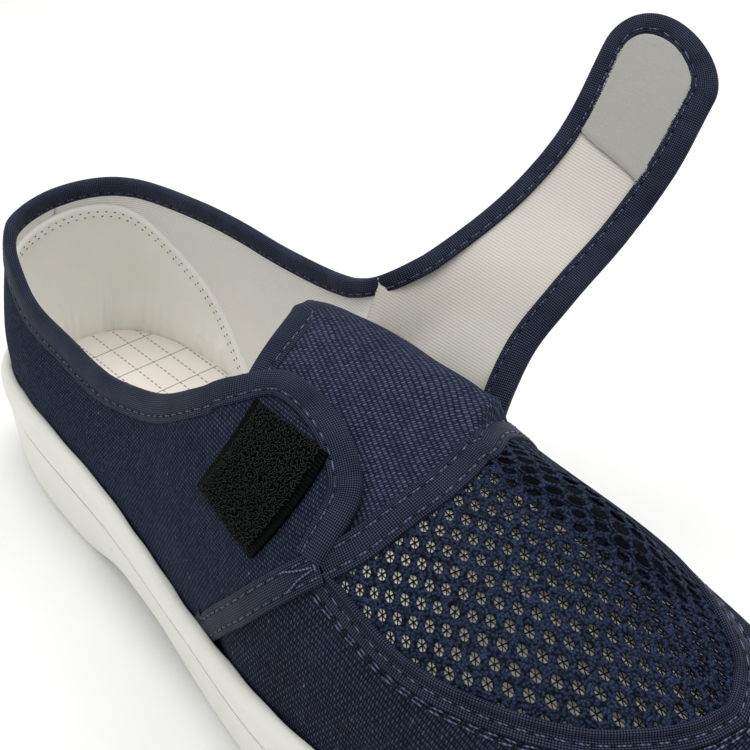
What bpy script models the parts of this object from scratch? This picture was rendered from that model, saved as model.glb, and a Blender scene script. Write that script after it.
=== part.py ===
"""Anti-static work shoe for the right foot: a moulded outsole with a cup rim, one canvas and mesh upper with a
lateral fastening tab, a tongue, an insole board, and an opened medial strap with its hook and loop patches.

Frame: +X towards the toe, +Y to the medial side, +Z up. The origin is on the floor under the middle of the heel.
"""

import bmesh
import bpy
import numpy as np

MM = 0.001

# Driving sizes of the shoe
LENGTH = 275 * MM
BALL_WIDTH = 98 * MM
INSTEP_HEIGHT = 90 * MM
HEEL_CENTRE = 36 * MM
WALL = 2.2 * MM
GAP = 0.3 * MM

# Sole: rise of the tread at the arch and the toe, the lip round the upper, the tread grooves and the insole board
ARCH_RISE = 5.0 * MM
TOE_SPRING = 9.0 * MM
LIP_THICKNESS = 4.0 * MM
GROOVE_WIDTH = 3.5 * MM
GROOVE_DEPTH = 2.5 * MM
INSOLE_THICKNESS = 3.5 * MM
INSOLE_CLEARANCE = 0.5 * MM

# Tongue, strap and fastening patches
TONGUE_THICKNESS = 2.4 * MM
STRAP_TIP_RADIUS = 15.0 * MM
HOOK_THICKNESS = 1.8 * MM
LOOP_THICKNESS = 1.2 * MM

# Mesh density: samples round the outline for each section row, and rings up the wall
STEPS_PER_ROW = 6
WALL_RINGS = 11

# Sections of the last, a row for each, from the heel round the lateral side to the toe and back along the medial
# side. foot is the outer outline of the sole, top the collar or tongue edge, in shares of length, ball width and
# instep height. rise and lean shape the wall above the sole, reach and drop shape it under the top line.
SECTION_COLUMNS = ("name", "foot_x", "foot_y", "top_x", "top_y", "top_z", "rise", "lean", "reach", "drop")
SECTIONS = (
    ("heel_back", 0.000, 0.000, 0.042, 0.000, 0.878, 0.35, 0.06, 0.00, 0.35),
    ("heel_lateral", 0.031, -0.243, 0.071, -0.189, 0.856, 0.35, 0.06, 0.00, 0.35),
    ("quarter_lateral", 0.145, -0.360, 0.170, -0.255, 0.860, 0.35, 0.04, 0.02, 0.32),
    ("waist_lateral", 0.345, -0.406, 0.378, -0.112, 1.022, 0.40, 0.02, 0.18, 0.22),
    ("throat_lateral", 0.491, -0.459, 0.451, 0.020, 1.000, 0.60, 0.02, 0.60, 0.00),
    ("ball_lateral", 0.647, -0.510, 0.600, 0.020, 0.928, 0.62, 0.02, 0.62, 0.00),
    ("toe_lateral", 0.800, -0.474, 0.745, 0.026, 0.789, 0.60, 0.02, 0.60, 0.00),
    ("corner_lateral", 0.931, -0.306, 0.858, 0.051, 0.650, 0.60, 0.02, 0.58, 0.00),
    ("toe_tip", 1.000, 0.051, 0.916, 0.071, 0.567, 0.60, 0.02, 0.58, 0.00),
    ("corner_medial", 0.953, 0.337, 0.858, 0.051, 0.650, 0.52, 0.02, 0.48, 0.00),
    ("toe_medial", 0.844, 0.464, 0.745, 0.026, 0.789, 0.42, 0.02, 0.40, 0.00),
    ("ball_medial", 0.684, 0.478, 0.600, 0.020, 0.928, 0.38, 0.02, 0.36, 0.00),
    ("throat_medial", 0.527, 0.372, 0.451, 0.020, 1.000, 0.50, 0.04, 0.72, 0.00),
    ("waist_medial", 0.400, 0.305, 0.442, 0.330, 0.878, 0.40, 0.04, -0.05, 0.30),
    ("quarter_medial", 0.153, 0.342, 0.175, 0.281, 0.822, 0.35, 0.05, 0.00, 0.35),
    ("heel_medial", 0.031, 0.236, 0.071, 0.194, 0.867, 0.35, 0.06, 0.00, 0.35),
)
RIDGE_START = 4
TOE_TIP = 8

# Heights of the sole along its length: the top of the lip and the floor of the cup
HEIGHT_COLUMNS = ("along", "lip", "footbed")
HEIGHTS = (
    (0.00, 31.0 * MM, 20.5 * MM),
    (0.15, 30.5 * MM, 20.0 * MM),
    (0.40, 27.5 * MM, 16.5 * MM),
    (0.65, 24.5 * MM, 13.0 * MM),
    (0.82, 25.0 * MM, 13.5 * MM),
    (1.00, 30.0 * MM, 19.0 * MM),
)

# Where the tread leaves the floor at the arch and the toe, in shares of the length
ARCH_SPAN = (0.25, 0.35, 0.42, 0.54)
TOE_SPAN = (0.80, 1.00)

# Side of the sole from the tread to the cup, a row for each ring: inset from the outline, then the height as a
# share of the way from tread to lip plus an offset
PROFILE_COLUMNS = ("name", "inset", "share", "offset")
PROFILE = (
    ("tread_edge", 4.2 * MM, 0.0, 0.0),
    ("tread_corner", 2.2 * MM, 0.0, 2.0 * MM),
    ("wall_low", 1.4 * MM, 0.0, 5.0 * MM),
    ("wall_high", 0.8 * MM, 1.0, -8.2 * MM),
    ("groove", 1.3 * MM, 1.0, -7.4 * MM),
    ("bead_low", 0.4 * MM, 1.0, -6.2 * MM),
    ("bead_middle", 0.0, 1.0, -3.4 * MM),
    ("bead_top", 1.0 * MM, 1.0, -1.0 * MM),
    ("lip_crest", 2.4 * MM, 1.0, 0.0),
    ("lip_inner", LIP_THICKNESS, 1.0, -0.5 * MM),
)
CAP_STRIPS = 4

# Edges on the vamp, a row for each point: along is counted in section rows from the tongue's upper edge towards the
# toe, across is a share of the wall from the ridge down, negative on the lateral side
EDGE_COLUMNS = ("name", "along", "across")
TAB_EDGE = (
    ("collar_rear", -2.90, -0.01),
    ("collar_turn", -2.40, -0.10),
    ("collar_side", -2.04, -0.27),
    ("collar_fall", -1.68, -0.41),
    ("collar_low", -1.40, -0.51),
    ("collar_dip", -1.14, -0.54),
    ("tab_rise", -0.58, -0.51),
    ("tab_back", -0.12, -0.43),
    ("tab_heel", 0.12, -0.34),
    ("tab_top", 0.44, -0.21),
    ("tab_shoulder", 0.80, -0.20),
    ("tab_front", 1.08, -0.26),
    ("tab_nose", 1.18, -0.35),
    ("tack_lateral", 1.14, -0.53),
)
SEAM_EDGE = (
    ("tack_lateral", 1.14, -0.53),
    ("seam_low", 1.29, -0.41),
    ("seam_middle", 1.41, -0.26),
    ("seam_high", 1.50, -0.11),
    ("seam_ridge", 1.50, 0.04),
    ("seam_fall", 1.22, 0.22),
    ("seam_medial", 1.00, 0.38),
    ("tack_medial", 0.72, 0.60),
)
STRAP_ROOT = (
    ("tack_medial", 0.72, 0.60),
    ("root_low", 0.40, 0.62),
    ("root_middle", 0.00, 0.61),
    ("root_high", -0.52, 0.53),
    ("notch", -0.97, 0.01),
)
HOOK_CORNERS = (
    ("low_back", 0.20, -0.64),
    ("high_back", 0.44, -0.31),
    ("high_front", 0.96, -0.31),
    ("low_front", 0.68, -0.65),
)
POINTS_PER_EDGE = 5
HOOK_STEPS = 7

# The throat is cut by a cone from this point inside the shoe, through the edges above and out to this many times
# their distance
CUT_APEX = (150 * MM, 0, 35 * MM)
CUT_REACH = 2.2
OVER_COLLAR = np.array((-25 * MM, 0, 35 * MM))

# Tongue: its upper edge, as places on the vamp, where it ends under the vamp, and how far it goes down both sides
TONGUE_TOP_COLUMNS = ("across", "along")
TONGUE_TOP = (
    (-0.70, 0.20),
    (0.00, 0.22),
    (0.15, 0.06),
    (0.70, 0.00),
)
TONGUE_END = 11 / 6
TONGUE_SIDE = 0.7
TONGUE_STEPS = 10
TONGUE_CLEARANCE = 0.3 * MM

# The strap as it is pulled open: places of its rear and front edge at sections from root to end, in mm, where the
# root itself is the cut edge of the medial quarter
STRAP_COLUMNS = ("name", "rear_x", "rear_y", "rear_z", "front_x", "front_y", "front_z")
STRAP_SECTIONS = (
    ("flare", 129.0, 41.0, 83.0, 162.5, 47.0, 68.0),
    ("neck", 135.5, 54.0, 89.0, 163.5, 59.0, 78.0),
    ("middle", 137.5, 68.0, 101.0, 164.5, 75.0, 90.5),
    ("kink", 137.5, 80.0, 111.0, 165.0, 89.0, 102.0),
    ("end", 136.0, 97.0, 126.5, 163.5, 105.0, 116.5),
)
STRAP_STEPS = (18, 12)
ROOT_FADE = 0.3
ROOT_GAP = 0.6 * MM
LOOP_START = 0.76
LOOP_SIDE = 0.31
LOOP_MARGIN = 6 * MM
LOOP_STEPS = (6, 8)

# Tread grooves across the heel and the forefoot: middle of each, in shares of the length, and the land beside them
TREAD_GROOVES = (0.045, 0.085, 0.175, 0.215, 0.56, 0.60, 0.64, 0.72, 0.76, 0.80)
TREAD_LAND = 11 * MM


def column(table, names, name):
    """One named column of a table, as an array."""
    return np.array([row[names.index(name)] for row in table], float)


def spline(knots, values, at):
    """Smooth curve through values at knots, with tangents from the neighbours."""
    knots, values = np.asarray(knots, float), np.asarray(values, float)
    slopes = np.gradient(values, knots, axis=0)
    i = int(np.clip(np.searchsorted(knots, at) - 1, 0, len(knots) - 2))
    step = knots[i + 1] - knots[i]
    u = (at - knots[i]) / step
    return (
        (2 * u**3 - 3 * u**2 + 1) * values[i]
        + (u**3 - 2 * u**2 + u) * step * slopes[i]
        + (3 * u**2 - 2 * u**3) * values[i + 1]
        + (u**3 - u**2) * step * slopes[i + 1]
    )


def smoothstep(start, end, at):
    """Share from 0 to 1 between start and end, level at both."""
    u = np.clip((at - start) / (end - start), 0, 1)
    return u * u * (3 - 2 * u)


ROWS = len(SECTIONS)
SCALE = {"x": LENGTH, "y": BALL_WIDTH, "z": INSTEP_HEIGHT}


def section_points(name, axes):
    """Foot or top of every section, in metres from the back of the heel."""
    return np.stack([column(SECTIONS, SECTION_COLUMNS, f"{name}_{axis}") * SCALE[axis] for axis in axes], axis=1)


FEET = section_points("foot", "xy")
TOPS = section_points("top", "xyz")
SHAPES = np.stack([column(SECTIONS, SECTION_COLUMNS, n) for n in ("rise", "lean", "reach", "drop")], axis=1)
RIDGE = TOPS[RIDGE_START : TOE_TIP + 1]
COLLAR = np.concatenate([TOPS[ROWS - RIDGE_START :], TOPS[: RIDGE_START + 1]])


def periodic(values, t):
    """Smooth closed curve through one value for each section row."""
    margin = 3
    padded = np.concatenate([values[-margin:], values, values[:margin]])
    return spline(np.arange(-margin, ROWS + margin), padded, t % ROWS)


def outline(t, inset):
    """Point of the sole's plan outline at row t, moved inwards by inset."""
    step = 0.01
    along = periodic(FEET, t + step) - periodic(FEET, t - step)
    inward = np.array([-along[1], along[0]]) / np.linalg.norm(along)
    return periodic(FEET, t) + inset * inward, inward


def height(name, x):
    """Height of the lip or the footbed at x."""
    return spline(column(HEIGHTS, HEIGHT_COLUMNS, "along"), column(HEIGHTS, HEIGHT_COLUMNS, name), x / LENGTH)


def tread(x):
    """Height of the tread: flat under heel and forefoot, raised at the arch and towards the toe."""
    share = x / LENGTH
    arch = smoothstep(*ARCH_SPAN[:2], share) - smoothstep(*ARCH_SPAN[2:], share)
    return ARCH_RISE * arch + TOE_SPRING * smoothstep(*TOE_SPAN, share) ** 1.5


def top_line(t):
    """Collar behind the tongue's upper edge, then the ridge of the vamp to the toe."""
    t = t % ROWS
    if RIDGE_START <= t <= ROWS - RIDGE_START:
        return spline(range(len(RIDGE)), RIDGE, TOE_TIP - RIDGE_START - abs(t - TOE_TIP))
    back = t if t < RIDGE_START else t - ROWS
    return spline(np.arange(-RIDGE_START, RIDGE_START + 1), COLLAR, back)


def ridge_slope(t):
    """Fall of the ridge for each unit of length, none behind the tongue's upper edge."""
    from_toe = abs(t % ROWS - TOE_TIP)
    s = np.clip(TOE_TIP - RIDGE_START - from_toe, 0.01, TOE_TIP - RIDGE_START - 0.01)
    ahead, behind = (spline(range(len(RIDGE)), RIDGE, s + d) for d in (0.01, -0.01))
    on_ridge = 1 - smoothstep(TOE_TIP - RIDGE_START, TOE_TIP - RIDGE_START + 1, from_toe)
    return on_ridge * (ahead[2] - behind[2]) / (ahead[0] - behind[0])


def last_point(t, h):
    """Outer face of the upper at row t. h is 0 where the wall leaves the lip of the sole and 1 at the top line."""
    foot, inward = outline(t, LIP_THICKNESS + GAP)
    top = top_line(t)
    rise, lean, reach, drop = periodic(SHAPES, t)
    start = np.array([*foot, height("lip", foot[0])])
    tall = top[2] - start[2]
    up = np.array([*(-inward * lean), rise]) * tall
    away = start[:2] - top[:2]
    under = np.array([*(away * reach), away[0] * reach * ridge_slope(t) - drop * tall])
    b = [(1 - h) ** 3, 3 * h * (1 - h) ** 2, 3 * h * h * (1 - h), h**3]
    return b[0] * start + b[1] * (start + up) + b[2] * (top + under) + b[3] * top


def last_normal(t, h):
    """Outward direction of the upper's face."""
    step = 0.01
    low, high = max(h - step, 0), min(h + step, 1)
    across = last_point(t, high) - last_point(t, low)
    along = last_point(t + step, min(h, 1 - step)) - last_point(t - step, min(h, 1 - step))
    n = np.cross(along, across)
    return n / np.linalg.norm(n)


def vamp_station(along, across):
    """Row and wall share of a place on the vamp."""
    if across <= 0:
        return RIDGE_START + along, 1 + across
    return ROWS - RIDGE_START - along, 1 - across


def vamp_point(along, across, offset=0.0):
    """Point over the vamp, moved outwards by offset."""
    t, h = vamp_station(along, across)
    return last_point(t, h) + offset * last_normal(t, h)


def edge_places(rows):
    """Places along a smooth edge through the rows of a table."""
    knots = np.arange(len(rows))
    values = np.stack([column(rows, EDGE_COLUMNS, n) for n in ("along", "across")], axis=1)
    return [spline(knots, values, k) for k in np.linspace(0, knots[-1], POINTS_PER_EDGE * knots[-1] + 1)]


def in_frame(point):
    """Moves a point measured from the back of the heel into the shoe's frame."""
    return (point[0] - HEEL_CENTRE, point[1], point[2])


def new_object(name, bm, material):
    """Turns a bmesh into a named object, smooth but for its sharp edges."""
    mesh = bpy.data.meshes.new(name)
    bmesh.ops.recalc_face_normals(bm, faces=bm.faces)
    bm.to_mesh(mesh)
    bm.free()
    if material:
        mesh.materials.append(material)
    mesh.shade_smooth()
    mesh.set_sharp_from_angle(angle=np.radians(40))
    part = bpy.data.objects.new(name, mesh)
    bpy.context.scene.collection.objects.link(part)
    return part


def new_material(name, colour, roughness):
    material = bpy.data.materials.new(name)
    material.use_nodes = True
    shader = material.node_tree.nodes["Principled BSDF"]
    shader.inputs["Base Color"].default_value = (*colour, 1)
    shader.inputs["Roughness"].default_value = roughness
    return material


def skin(bm, rings, closed=True):
    """Faces between rings of the same number of vertices."""
    for low, high in zip(rings, rings[1:]):
        count = len(low)
        for i in range(count if closed else count - 1):
            k = (i + 1) % count
            bm.faces.new(list(dict.fromkeys((low[i], low[k], high[k], high[i]))))


def cap(bm, ring, level):
    """Closes a ring of the outline with strips from the lateral to the medial side, at level(x)."""
    half = len(ring) // 2
    strips = []
    for i in range(1, half):
        ends = [np.array(ring[k].co) for k in (i, len(ring) - i)]
        inner = [ends[0] + (ends[1] - ends[0]) * s / CAP_STRIPS for s in range(1, CAP_STRIPS)]
        middle = [bm.verts.new((p[0], p[1], level(p[0] + HEEL_CENTRE))) for p in inner]
        strips.append([ring[i], *middle, ring[len(ring) - i]])
    skin(bm, strips, closed=False)
    for pole, strip in ((ring[0], strips[0]), (ring[half], strips[-1])):
        for a, b in zip(strip, strip[1:]):
            bm.faces.new((pole, a, b))


def solidify(part, thickness):
    """Gives a sheet its thickness, inwards from the face that was modelled."""
    wall = part.modifiers.new("wall", "SOLIDIFY")
    wall.thickness = thickness
    wall.offset = -1
    return part


def cut(part, cutter):
    """Takes the cutter's shape out of a part."""
    cutter.hide_render = True
    cutter.display_type = "WIRE"
    opening = part.modifiers.new(cutter.name, "BOOLEAN")
    opening.operation = "DIFFERENCE"
    opening.object = cutter


STATIONS = np.arange(ROWS * STEPS_PER_ROW) / STEPS_PER_ROW


def ring_at(bm, inset, level):
    """Vertices round the outline at an inset, each at level(x)."""
    points = [outline(t, inset)[0] for t in STATIONS]
    return [bm.verts.new(in_frame((*p, level(p[0])))) for p in points]


def make_outsole(material):
    bm = bmesh.new()
    rings = []
    for _, inset, share, offset in PROFILE:
        rings.append(ring_at(bm, inset, lambda x: tread(x) + share * (height("lip", x) - tread(x)) + offset))
    rings.append(ring_at(bm, LIP_THICKNESS, lambda x: height("footbed", x)))
    skin(bm, rings)
    cap(bm, rings[0], tread)
    cap(bm, rings[-1], lambda x: height("footbed", x))
    return new_object("outsole", bm, material)


def make_insole(material):
    bm = bmesh.new()
    inset = LIP_THICKNESS + GAP + WALL + INSOLE_CLEARANCE
    levels = [lambda x, up=up: height("footbed", x) + GAP + up for up in (0, INSOLE_THICKNESS)]
    rings = [ring_at(bm, inset, level) for level in levels]
    skin(bm, rings)
    for ring, level in zip(rings, levels):
        cap(bm, ring, level)
    return new_object("insole", bm, material)


def make_upper(material):
    """The whole wall over the last, before the throat is opened."""
    bm = bmesh.new()
    rings = [ring_at(bm, LIP_THICKNESS + GAP, lambda x: height("footbed", x) + GAP)]
    for h in np.linspace(0, 1, WALL_RINGS)[:-1]:
        rings.append([bm.verts.new(in_frame(last_point(t, h))) for t in STATIONS])
    top = {}
    for i, t in enumerate(STATIONS):
        shared = len(STATIONS) - i if TOE_TIP < t <= ROWS - RIDGE_START else i
        top[i] = top[shared] if shared in top else bm.verts.new(in_frame(last_point(t, 1)))
    rings.append([top[i] for i in range(len(STATIONS))])
    skin(bm, rings)
    return solidify(new_object("upper", bm, material), WALL)


def make_throat_cutter():
    """Cone through the edges of tab, vamp seam and strap root, open above the collar."""
    places = edge_places(TAB_EDGE) + edge_places(SEAM_EDGE)[1:] + edge_places(STRAP_ROOT)[1:]
    edge = [vamp_point(*place) for place in places]
    edge += [edge[-1] + OVER_COLLAR, edge[0] + OVER_COLLAR]
    apex = np.array(CUT_APEX)
    bm = bmesh.new()
    inner = bm.verts.new(in_frame(apex))
    ring = [bm.verts.new(in_frame(apex + CUT_REACH * (p - apex))) for p in edge]
    for a, b in zip(ring, ring[1:] + ring[:1]):
        bm.faces.new((inner, a, b))
    crown = bm.faces.new(ring)
    bmesh.ops.triangulate(bm, faces=[crown], ngon_method="EAR_CLIP")
    return new_object("throat_cutter", bm, None)


def slab(name, low, high, material):
    """Closed solid between two grids of points."""
    bm = bmesh.new()
    grids = [[[bm.verts.new(in_frame(p)) for p in row] for row in grid] for grid in (low, high)]
    rims = []
    for grid in grids:
        skin(bm, grid, closed=False)
        rims.append(grid[0] + [r[-1] for r in grid[1:]] + grid[-1][-2::-1] + [r[0] for r in grid[-2:0:-1]])
    skin(bm, rims)
    return new_object(name, bm, material)


def make_tongue(material):
    """Panel under the throat, parallel to the vamp and the quarters."""
    sides = round(TONGUE_SIDE * (WALL_RINGS - 1))
    acrosses = np.arange(-sides, sides + 1) / (WALL_RINGS - 1)
    tops = np.interp(acrosses, *(column(TONGUE_TOP, TONGUE_TOP_COLUMNS, n) for n in TONGUE_TOP_COLUMNS))
    shares = np.linspace(0, 1, TONGUE_STEPS + 1)
    outer = -(WALL + GAP + TONGUE_CLEARANCE)
    faces = [
        [
            [vamp_point(top + (TONGUE_END - top) * share, across, offset) for top, across in zip(tops, acrosses)]
            for share in shares
        ]
        for offset in (outer - TONGUE_THICKNESS, outer)
    ]
    return slab("tongue", *faces, material)


def make_hook_patch(material):
    """Patch on the lateral tab, a quadrilateral laid on its curve."""
    corners = np.array([row[1:] for row in HOOK_CORNERS])
    steps = np.linspace(0, 1, HOOK_STEPS)

    def place(u, v):
        low = corners[0] + (corners[3] - corners[0]) * u
        high = corners[1] + (corners[2] - corners[1]) * u
        return low + (high - low) * v

    faces = [
        [[vamp_point(*place(u, v), offset) for v in steps] for u in steps]
        for offset in (GAP, GAP + HOOK_THICKNESS)
    ]
    return slab("hook_patch", *faces, material)


STRAP_ROOT_LINE = np.array([vamp_point(*place) for place in reversed(edge_places(STRAP_ROOT))])


def strap_edge(side, root):
    """Edge of the strap from its root through its sections."""
    rows = [column(STRAP_SECTIONS, STRAP_COLUMNS, f"{side}_{axis}") * MM for axis in "xyz"]
    return np.concatenate([[root], np.stack(rows, axis=1)])


STRAP_REAR = strap_edge("rear", STRAP_ROOT_LINE[0])
STRAP_FRONT = strap_edge("front", STRAP_ROOT_LINE[-1])
STRAP_MIDDLE = (STRAP_REAR + STRAP_FRONT) / 2
STRAP_LENGTHS = np.concatenate([[0], np.cumsum(np.linalg.norm(np.diff(STRAP_MIDDLE, axis=0), axis=1))])
STRAP_LENGTH = STRAP_LENGTHS[-1]


def round_end(side, radius):
    """How far a round end reaches past the last section, side running from -1 to 1 across it."""
    return radius * np.sqrt(max(0, 1 - side * side))


def strap_point(length, v):
    """Outer face of the strap at a length from its root, v running from its rear edge to its front edge."""
    inside = min(length, STRAP_LENGTH)
    rear = spline(STRAP_LENGTHS, STRAP_REAR, inside)
    front = spline(STRAP_LENGTHS, STRAP_FRONT, inside)
    point = rear + (front - rear) * v
    root = spline(np.linspace(0, 1, len(STRAP_ROOT_LINE)), STRAP_ROOT_LINE, v) + (ROOT_GAP * (1 - v), 0, ROOT_GAP)
    fade = max(0, 1 - inside / STRAP_LENGTH / ROOT_FADE) ** 2
    straight = STRAP_REAR[0] + (STRAP_FRONT[0] - STRAP_REAR[0]) * v
    onward = STRAP_MIDDLE[-1] - STRAP_MIDDLE[-2]
    onward = onward / np.linalg.norm(onward)
    return point + fade * (root - straight) + (length - inside) * onward


def strap_lining(length, v, offset):
    """Point over the lining side of the strap."""
    step = 0.5 * MM
    middle = np.clip(v, 0.05, 0.95)
    along = strap_point(length + step, v) - strap_point(max(length - step, 0), v)
    across = strap_point(length, middle + 0.02) - strap_point(length, middle - 0.02)
    n = np.cross(across, along)
    return strap_point(length, v) + offset * n / np.linalg.norm(n)


def strap_sides(count):
    """Steps across the strap, closer together at its edges."""
    return (1 - np.cos(np.pi * np.linspace(0, 1, count + 1))) / 2


def strap_slab(name, start, half_width, radius, levels, steps, material):
    """Solid along the strap from start to a round end, between two levels over the outer face."""
    faces = []
    for offset in levels:
        rows = []
        for share in np.linspace(0, 1, steps[0] + 1):
            row = []
            for v in strap_sides(steps[1]):
                side = 2 * v - 1
                end = STRAP_LENGTH + round_end(side, radius)
                row.append(strap_lining(start + (end - start) * share, 0.5 + side * half_width, offset))
            rows.append(row)
        faces.append(rows)
    return slab(name, *faces, material)


def make_strap(material):
    return strap_slab("strap", 0, 0.5, STRAP_TIP_RADIUS, (0, WALL), STRAP_STEPS, material)


def make_loop_patch(material):
    """Patch on the strap's lining near its end, rounded like the strap."""
    levels = (WALL + GAP, WALL + GAP + LOOP_THICKNESS)
    radius = STRAP_TIP_RADIUS - LOOP_MARGIN
    return strap_slab("loop_patch", LOOP_START * STRAP_LENGTH, LOOP_SIDE, radius, levels, LOOP_STEPS, material)


def make_groove_cutter():
    """Straight grooves across the tread, short of its edges."""
    bm = bmesh.new()
    for share in TREAD_GROOVES:
        x = share * LENGTH
        lateral, medial = edge_sides(x)
        bar = bmesh.ops.create_cube(bm, size=1)["verts"]
        length = medial - lateral - 2 * TREAD_LAND
        bmesh.ops.scale(bm, verts=bar, vec=(GROOVE_WIDTH, length, 2 * GROOVE_DEPTH))
        bmesh.ops.translate(bm, verts=bar, vec=in_frame((x, (lateral + medial) / 2, tread(x))))
    return new_object("groove_cutter", bm, None)


def edge_sides(x):
    """Lateral and medial y of the outline at x."""
    points = np.array([outline(t, 0)[0] for t in STATIONS])
    half = len(points) // 2
    lateral, medial = points[: half + 1], points[half:][::-1]
    return np.interp(x, lateral[:, 0], lateral[:, 1]), np.interp(x, medial[:, 0], medial[:, 1])


def main():
    for old in list(bpy.data.objects):
        bpy.data.objects.remove(old)
    canvas = new_material("navy_canvas", (0.017, 0.022, 0.055), 0.9)
    moulded = new_material("white_pvc", (0.78, 0.78, 0.74), 0.45)
    board = new_material("white_insole_cloth", (0.85, 0.82, 0.78), 0.8)
    hooks = new_material("black_hook_tape", (0.01, 0.01, 0.01), 0.6)
    loops = new_material("white_loop_tape", (0.8, 0.8, 0.8), 0.95)
    cut(make_outsole(moulded), make_groove_cutter())
    make_insole(board)
    cut(make_upper(canvas), make_throat_cutter())
    make_tongue(canvas)
    make_strap(canvas)
    make_hook_patch(hooks)
    make_loop_patch(loops)


main()
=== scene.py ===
"""Looks of the anti-static work shoe for the right foot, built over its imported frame.

It has a moulded white sole, canvas panels sewn with grosgrain tape, a spacer mesh vamp, a tongue, white
linings and the open fastening strap.

A place on the upper is (row, wall). Row counts the section rows of the last, from the back of the heel along
the lateral side to the toe and back along the medial side. Wall runs from 0 at the lip of the sole to 1 at
the top line. On the closed vamp a wall above 1 goes over the ridge to the other side. Below 0 it goes down
behind the lip.
"""

import functools
import math

import bmesh
import bpy
import numpy as np
from mathutils import Matrix, Vector


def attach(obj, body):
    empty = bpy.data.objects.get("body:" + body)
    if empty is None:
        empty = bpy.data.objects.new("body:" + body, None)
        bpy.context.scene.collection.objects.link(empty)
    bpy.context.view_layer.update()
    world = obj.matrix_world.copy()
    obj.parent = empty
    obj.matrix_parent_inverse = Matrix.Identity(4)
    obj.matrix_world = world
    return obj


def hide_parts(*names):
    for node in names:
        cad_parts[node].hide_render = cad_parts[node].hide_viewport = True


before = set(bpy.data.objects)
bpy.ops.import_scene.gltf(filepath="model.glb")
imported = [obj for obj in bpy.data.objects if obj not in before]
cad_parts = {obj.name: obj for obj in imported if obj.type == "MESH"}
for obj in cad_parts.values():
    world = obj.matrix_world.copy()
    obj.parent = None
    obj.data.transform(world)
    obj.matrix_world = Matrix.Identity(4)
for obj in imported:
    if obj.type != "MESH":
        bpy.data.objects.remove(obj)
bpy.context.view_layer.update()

MM = 0.001

# Driving sizes, the same as the frame's
LENGTH = 275 * MM
BALL_WIDTH = 98 * MM
INSTEP_HEIGHT = 90 * MM
HEEL_CENTRE = 36 * MM
WALL = 2.2 * MM
GAP = 0.3 * MM
LIP_THICKNESS = 4.0 * MM
ARCH_RISE = 5.0 * MM
TOE_SPRING = 9.0 * MM
GROOVE_WIDTH = 3.5 * MM
GROOVE_DEPTH = 2.5 * MM
INSOLE_THICKNESS = 3.5 * MM
INSOLE_CLEARANCE = 0.5 * MM

# Sections of the last: foot_x, foot_y, top_x, top_y, top_z, rise, lean, reach, drop
SECTIONS = np.array((
    (0.000, 0.000, 0.042, 0.000, 0.872, 0.35, 0.06, 0.40, 0.35),
    (0.031, -0.243, 0.072, -0.189, 0.851, 0.35, 0.06, 0.50, 0.35),
    (0.145, -0.360, 0.170, -0.255, 0.858, 0.35, 0.04, 0.20, 0.32),
    (0.345, -0.406, 0.378, -0.112, 1.022, 0.40, 0.02, 0.18, 0.22),
    (0.491, -0.459, 0.451, 0.020, 1.000, 0.60, 0.02, 0.60, 0.00),
    (0.647, -0.510, 0.600, 0.020, 0.928, 0.62, 0.02, 0.62, 0.00),
    (0.800, -0.474, 0.745, 0.026, 0.789, 0.60, 0.02, 0.60, 0.00),
    (0.931, -0.306, 0.838, 0.046, 0.675, 0.60, 0.02, 0.58, 0.00),
    (1.000, 0.051, 0.884, 0.059, 0.614, 0.60, 0.02, 0.60, 0.00),
    (0.953, 0.337, 0.838, 0.046, 0.675, 0.52, 0.02, 0.48, 0.00),
    (0.844, 0.464, 0.745, 0.026, 0.789, 0.42, 0.02, 0.40, 0.00),
    (0.684, 0.478, 0.600, 0.020, 0.928, 0.38, 0.02, 0.36, 0.00),
    (0.527, 0.372, 0.451, 0.020, 1.000, 0.50, 0.04, 0.72, 0.00),
    (0.400, 0.305, 0.442, 0.330, 0.893, 0.40, 0.04, -0.05, 0.30),
    (0.153, 0.342, 0.175, 0.281, 0.874, 0.35, 0.05, 0.10, 0.35),
    (0.031, 0.236, 0.071, 0.194, 0.879, 0.35, 0.06, 0.20, 0.35),
))
ROWS = len(SECTIONS)
RIDGE_START = 4
TOE_TIP = 8
# Rows round the toe tip that are eased, rows behind the ridge that still go over it, and samples of a curve
TIP_EASE = 1.2
RIDGE_MARGIN = 0.3
PATH_SAMPLES = 40
WALL_SAMPLES = 13
FEET = SECTIONS[:, 0:2] * (LENGTH, BALL_WIDTH)
TOPS = SECTIONS[:, 2:5] * (LENGTH, BALL_WIDTH, INSTEP_HEIGHT)
SHAPES = SECTIONS[:, 5:9]
RIDGE = TOPS[RIDGE_START : TOE_TIP + 1]
COLLAR = np.concatenate([TOPS[ROWS - RIDGE_START :], TOPS[: RIDGE_START + 1]])

# Heights of the sole: share of the length, top of the lip, floor of the cup
HEIGHTS = np.array((
    (0.00, 31.0 * MM, 20.5 * MM),
    (0.15, 30.5 * MM, 20.0 * MM),
    (0.40, 27.5 * MM, 16.5 * MM),
    (0.65, 24.5 * MM, 13.0 * MM),
    (0.82, 25.0 * MM, 13.5 * MM),
    (1.00, 30.0 * MM, 19.0 * MM),
))
ARCH_SPAN = (0.25, 0.35, 0.42, 0.54)
TOE_SPAN = (0.80, 1.00)
TOE_CURVE = 1.5
TREAD_GROOVES = (0.045, 0.085, 0.175, 0.215, 0.56, 0.60, 0.64, 0.72, 0.76, 0.80)
TREAD_LAND = 11 * MM

# How far the wall goes down behind the lip for each unit below 0, and where canvas and lining end down there
SKIRT = 50 * MM
CANVAS_FOOT = -0.08
LINING_FOOT = -0.20

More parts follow.
